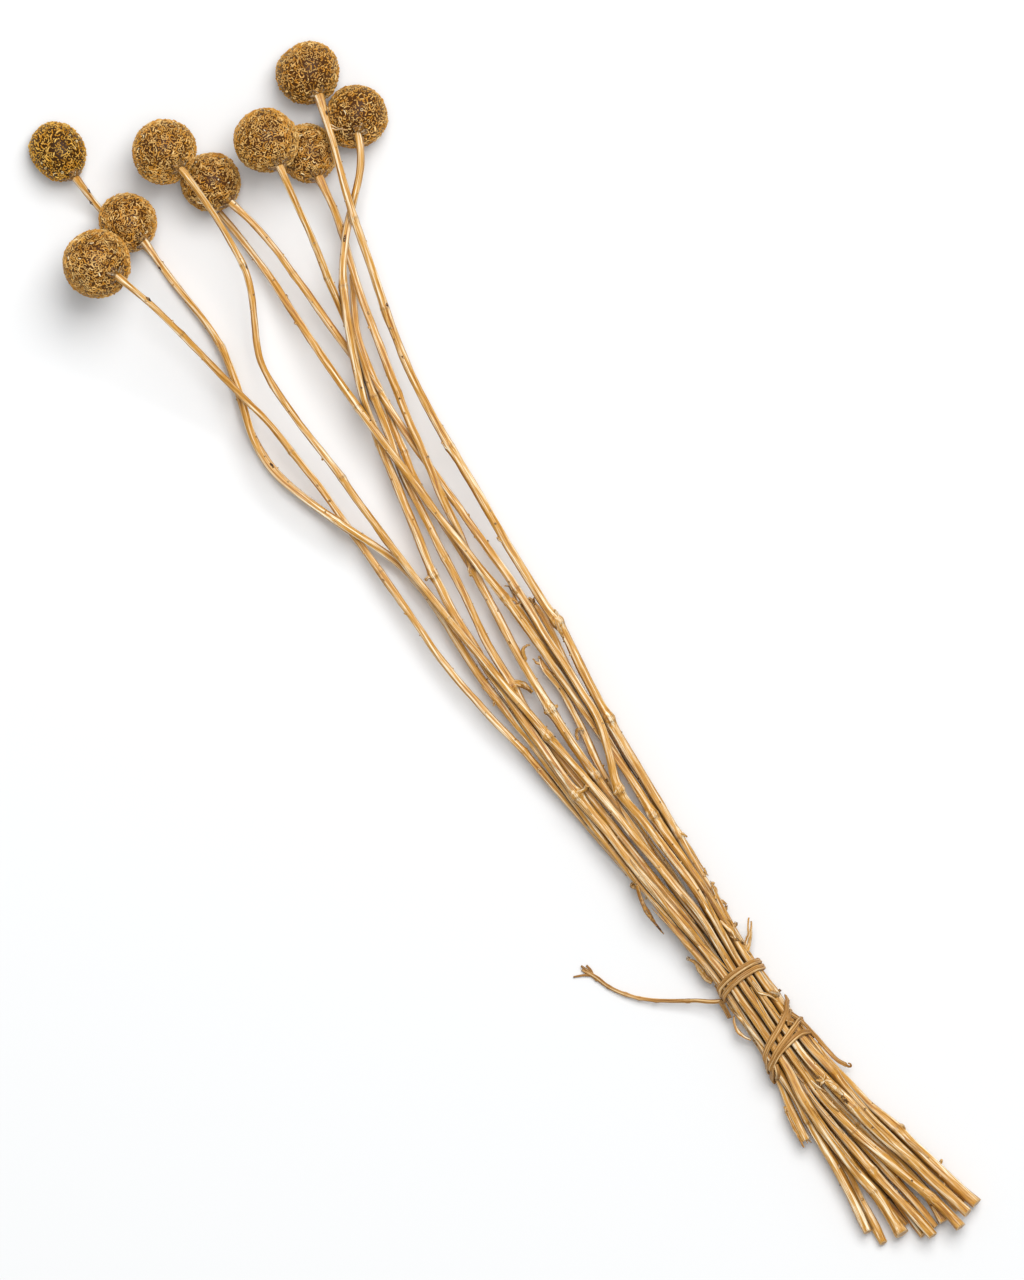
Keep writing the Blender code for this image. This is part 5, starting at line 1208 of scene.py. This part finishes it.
FINISHES = {
    # Weathered woody stalk: satin straw; pale ridges, partly painted highlight; orange-brown furrows,
    # partly painted shade; dark brown scars, whose brown is also painted shade between stems.
    "dried_stem": finish("dried_craspedia_stalk", (
        "#CB943F", "#F9EDCE", "#8A4D12", "#3C1E04", "#D9AF6C", "#B98A4A"), 0.34, 0.28, 0.0, straw),
    # Split stalk of the bindings: the same plant with its skin broken, so duller and browner.
    "split_stalk": finish("split_dried_stalk", (
        "#B4803E", "#E8C894", "#764614", "#44270B", "#CDA05C", "#A87B42"), 0.45, 0.22, 0.0, straw),
    # Dry florets: velvety ochre, with pale tips, partly dust and partly painted highlight, and brown
    # between them, partly painted shade.
    "dried_floret": finish("dried_floret_husk", (
        "#47270A", "#BA7F2F", "#F1CC86", "#D19226", "#F0E0B8"), 0.44, 0.11, 0.45, floret),
    # The small head's florets: darker pits, partly painted shade, less dust and stronger gold.
    "dark_dried_floret": finish("dark_dried_floret_husk", (
        "#391F04", "#BA8023", "#F4C96A", "#D89B26", "#F0E0B2"), 0.42, 0.12, 0.3, floret),
}


# The whole bunch.


def shown(piece, *nodes, slot):
    """Puts a finished piece on the bunch in place of its CAD nodes."""
    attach(piece, "root")
    if nodes:
        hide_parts(*nodes)


def main():
    """Grows the whole bunch."""
    stalks = stalk_tree()
    florets = floret_tree()
    lines = {stem: stem_line(stem) for stem in STEMS}
    make_stems(stalks, lines)
    make_bark(stalks, lines)
    make_heads(florets)
    make_bindings(stalks, lines)


# Studio.

# The photo: 1280 pixels of 0.38 mm high, taken from straight above, with the bunch turned in it.
PHOTO_HEIGHT = 1280 * 0.38 * MM
PHOTO_MIDDLE = (-0.00545, 0.00925)
PHOTO_LEVEL = 0.012  # the height above the surface where its scale holds
AWAY = 12.0  # far enough that the view is as good as straight down all over
SENSOR = 36
# Lamps: metres to the photo's right, towards its top and up, then size and power.
LAMPS = {"soft_box": (0.72, 1.8, 3.6, 2.4, 137.0), "overhead": (0.0, 0.3, 3.0, 1.2, 29.0)}


def studio():
    """A pale floor, soft light from above and the upper right, and the camera straight above."""
    floor = bpy.data.meshes.new("floor")
    floor.from_pydata([(-3, -3, 0), (3, -3, 0), (3, 3, 0), (-3, 3, 0)], [], [(0, 1, 2, 3)])
    # Matte white paper, so that the shadows on it are soft and plain.
    paper = bpy.data.materials.new("white_paper")
    paper.use_nodes = True
    shader = paper.node_tree.nodes["Principled BSDF"]
    shader.inputs["Base Color"].default_value = linear("#E5E5E5")
    shader.inputs["Roughness"].default_value = 0.9
    shader.inputs["Specular IOR Level"].default_value = 0.1
    floor.materials.append(paper)
    new_object("floor", floor)

    # Even, faintly cool light from all round fills the shadows.
    world = bpy.data.worlds.new("studio")
    bpy.context.scene.world = world
    world.use_nodes = True
    air = world.node_tree.nodes["Background"]
    air.inputs["Color"].default_value = (0.94, 0.975, 1.0, 1.0)
    air.inputs["Strength"].default_value = 0.36

    right = Vector((math.cos(BUNCH_TURN), -math.sin(BUNCH_TURN), 0))
    up = Vector((math.sin(BUNCH_TURN), math.cos(BUNCH_TURN), 0))
    for name, (aside, above, height, size, power) in LAMPS.items():
        lamp = bpy.data.lights.new(name, "AREA")
        lamp.size = size
        lamp.energy = power
        light = new_object(name, lamp)
        light.location = right * aside + up * above + Vector((0, 0, height))
        light.rotation_euler = light.location.to_track_quat("Z", "Y").to_euler()

    lens = bpy.data.cameras.new("camera")
    lens.sensor_width = SENSOR
    lens.clip_end = 40
    lens.lens = SENSOR * AWAY / PHOTO_HEIGHT
    camera = new_object("camera", lens)
    camera.location = (*PHOTO_MIDDLE, AWAY + PHOTO_LEVEL)
    camera.rotation_euler = (0, 0, -BUNCH_TURN)
    bpy.context.scene.camera = camera
    bpy.context.scene.view_settings.view_transform = "Standard"


studio()
main()
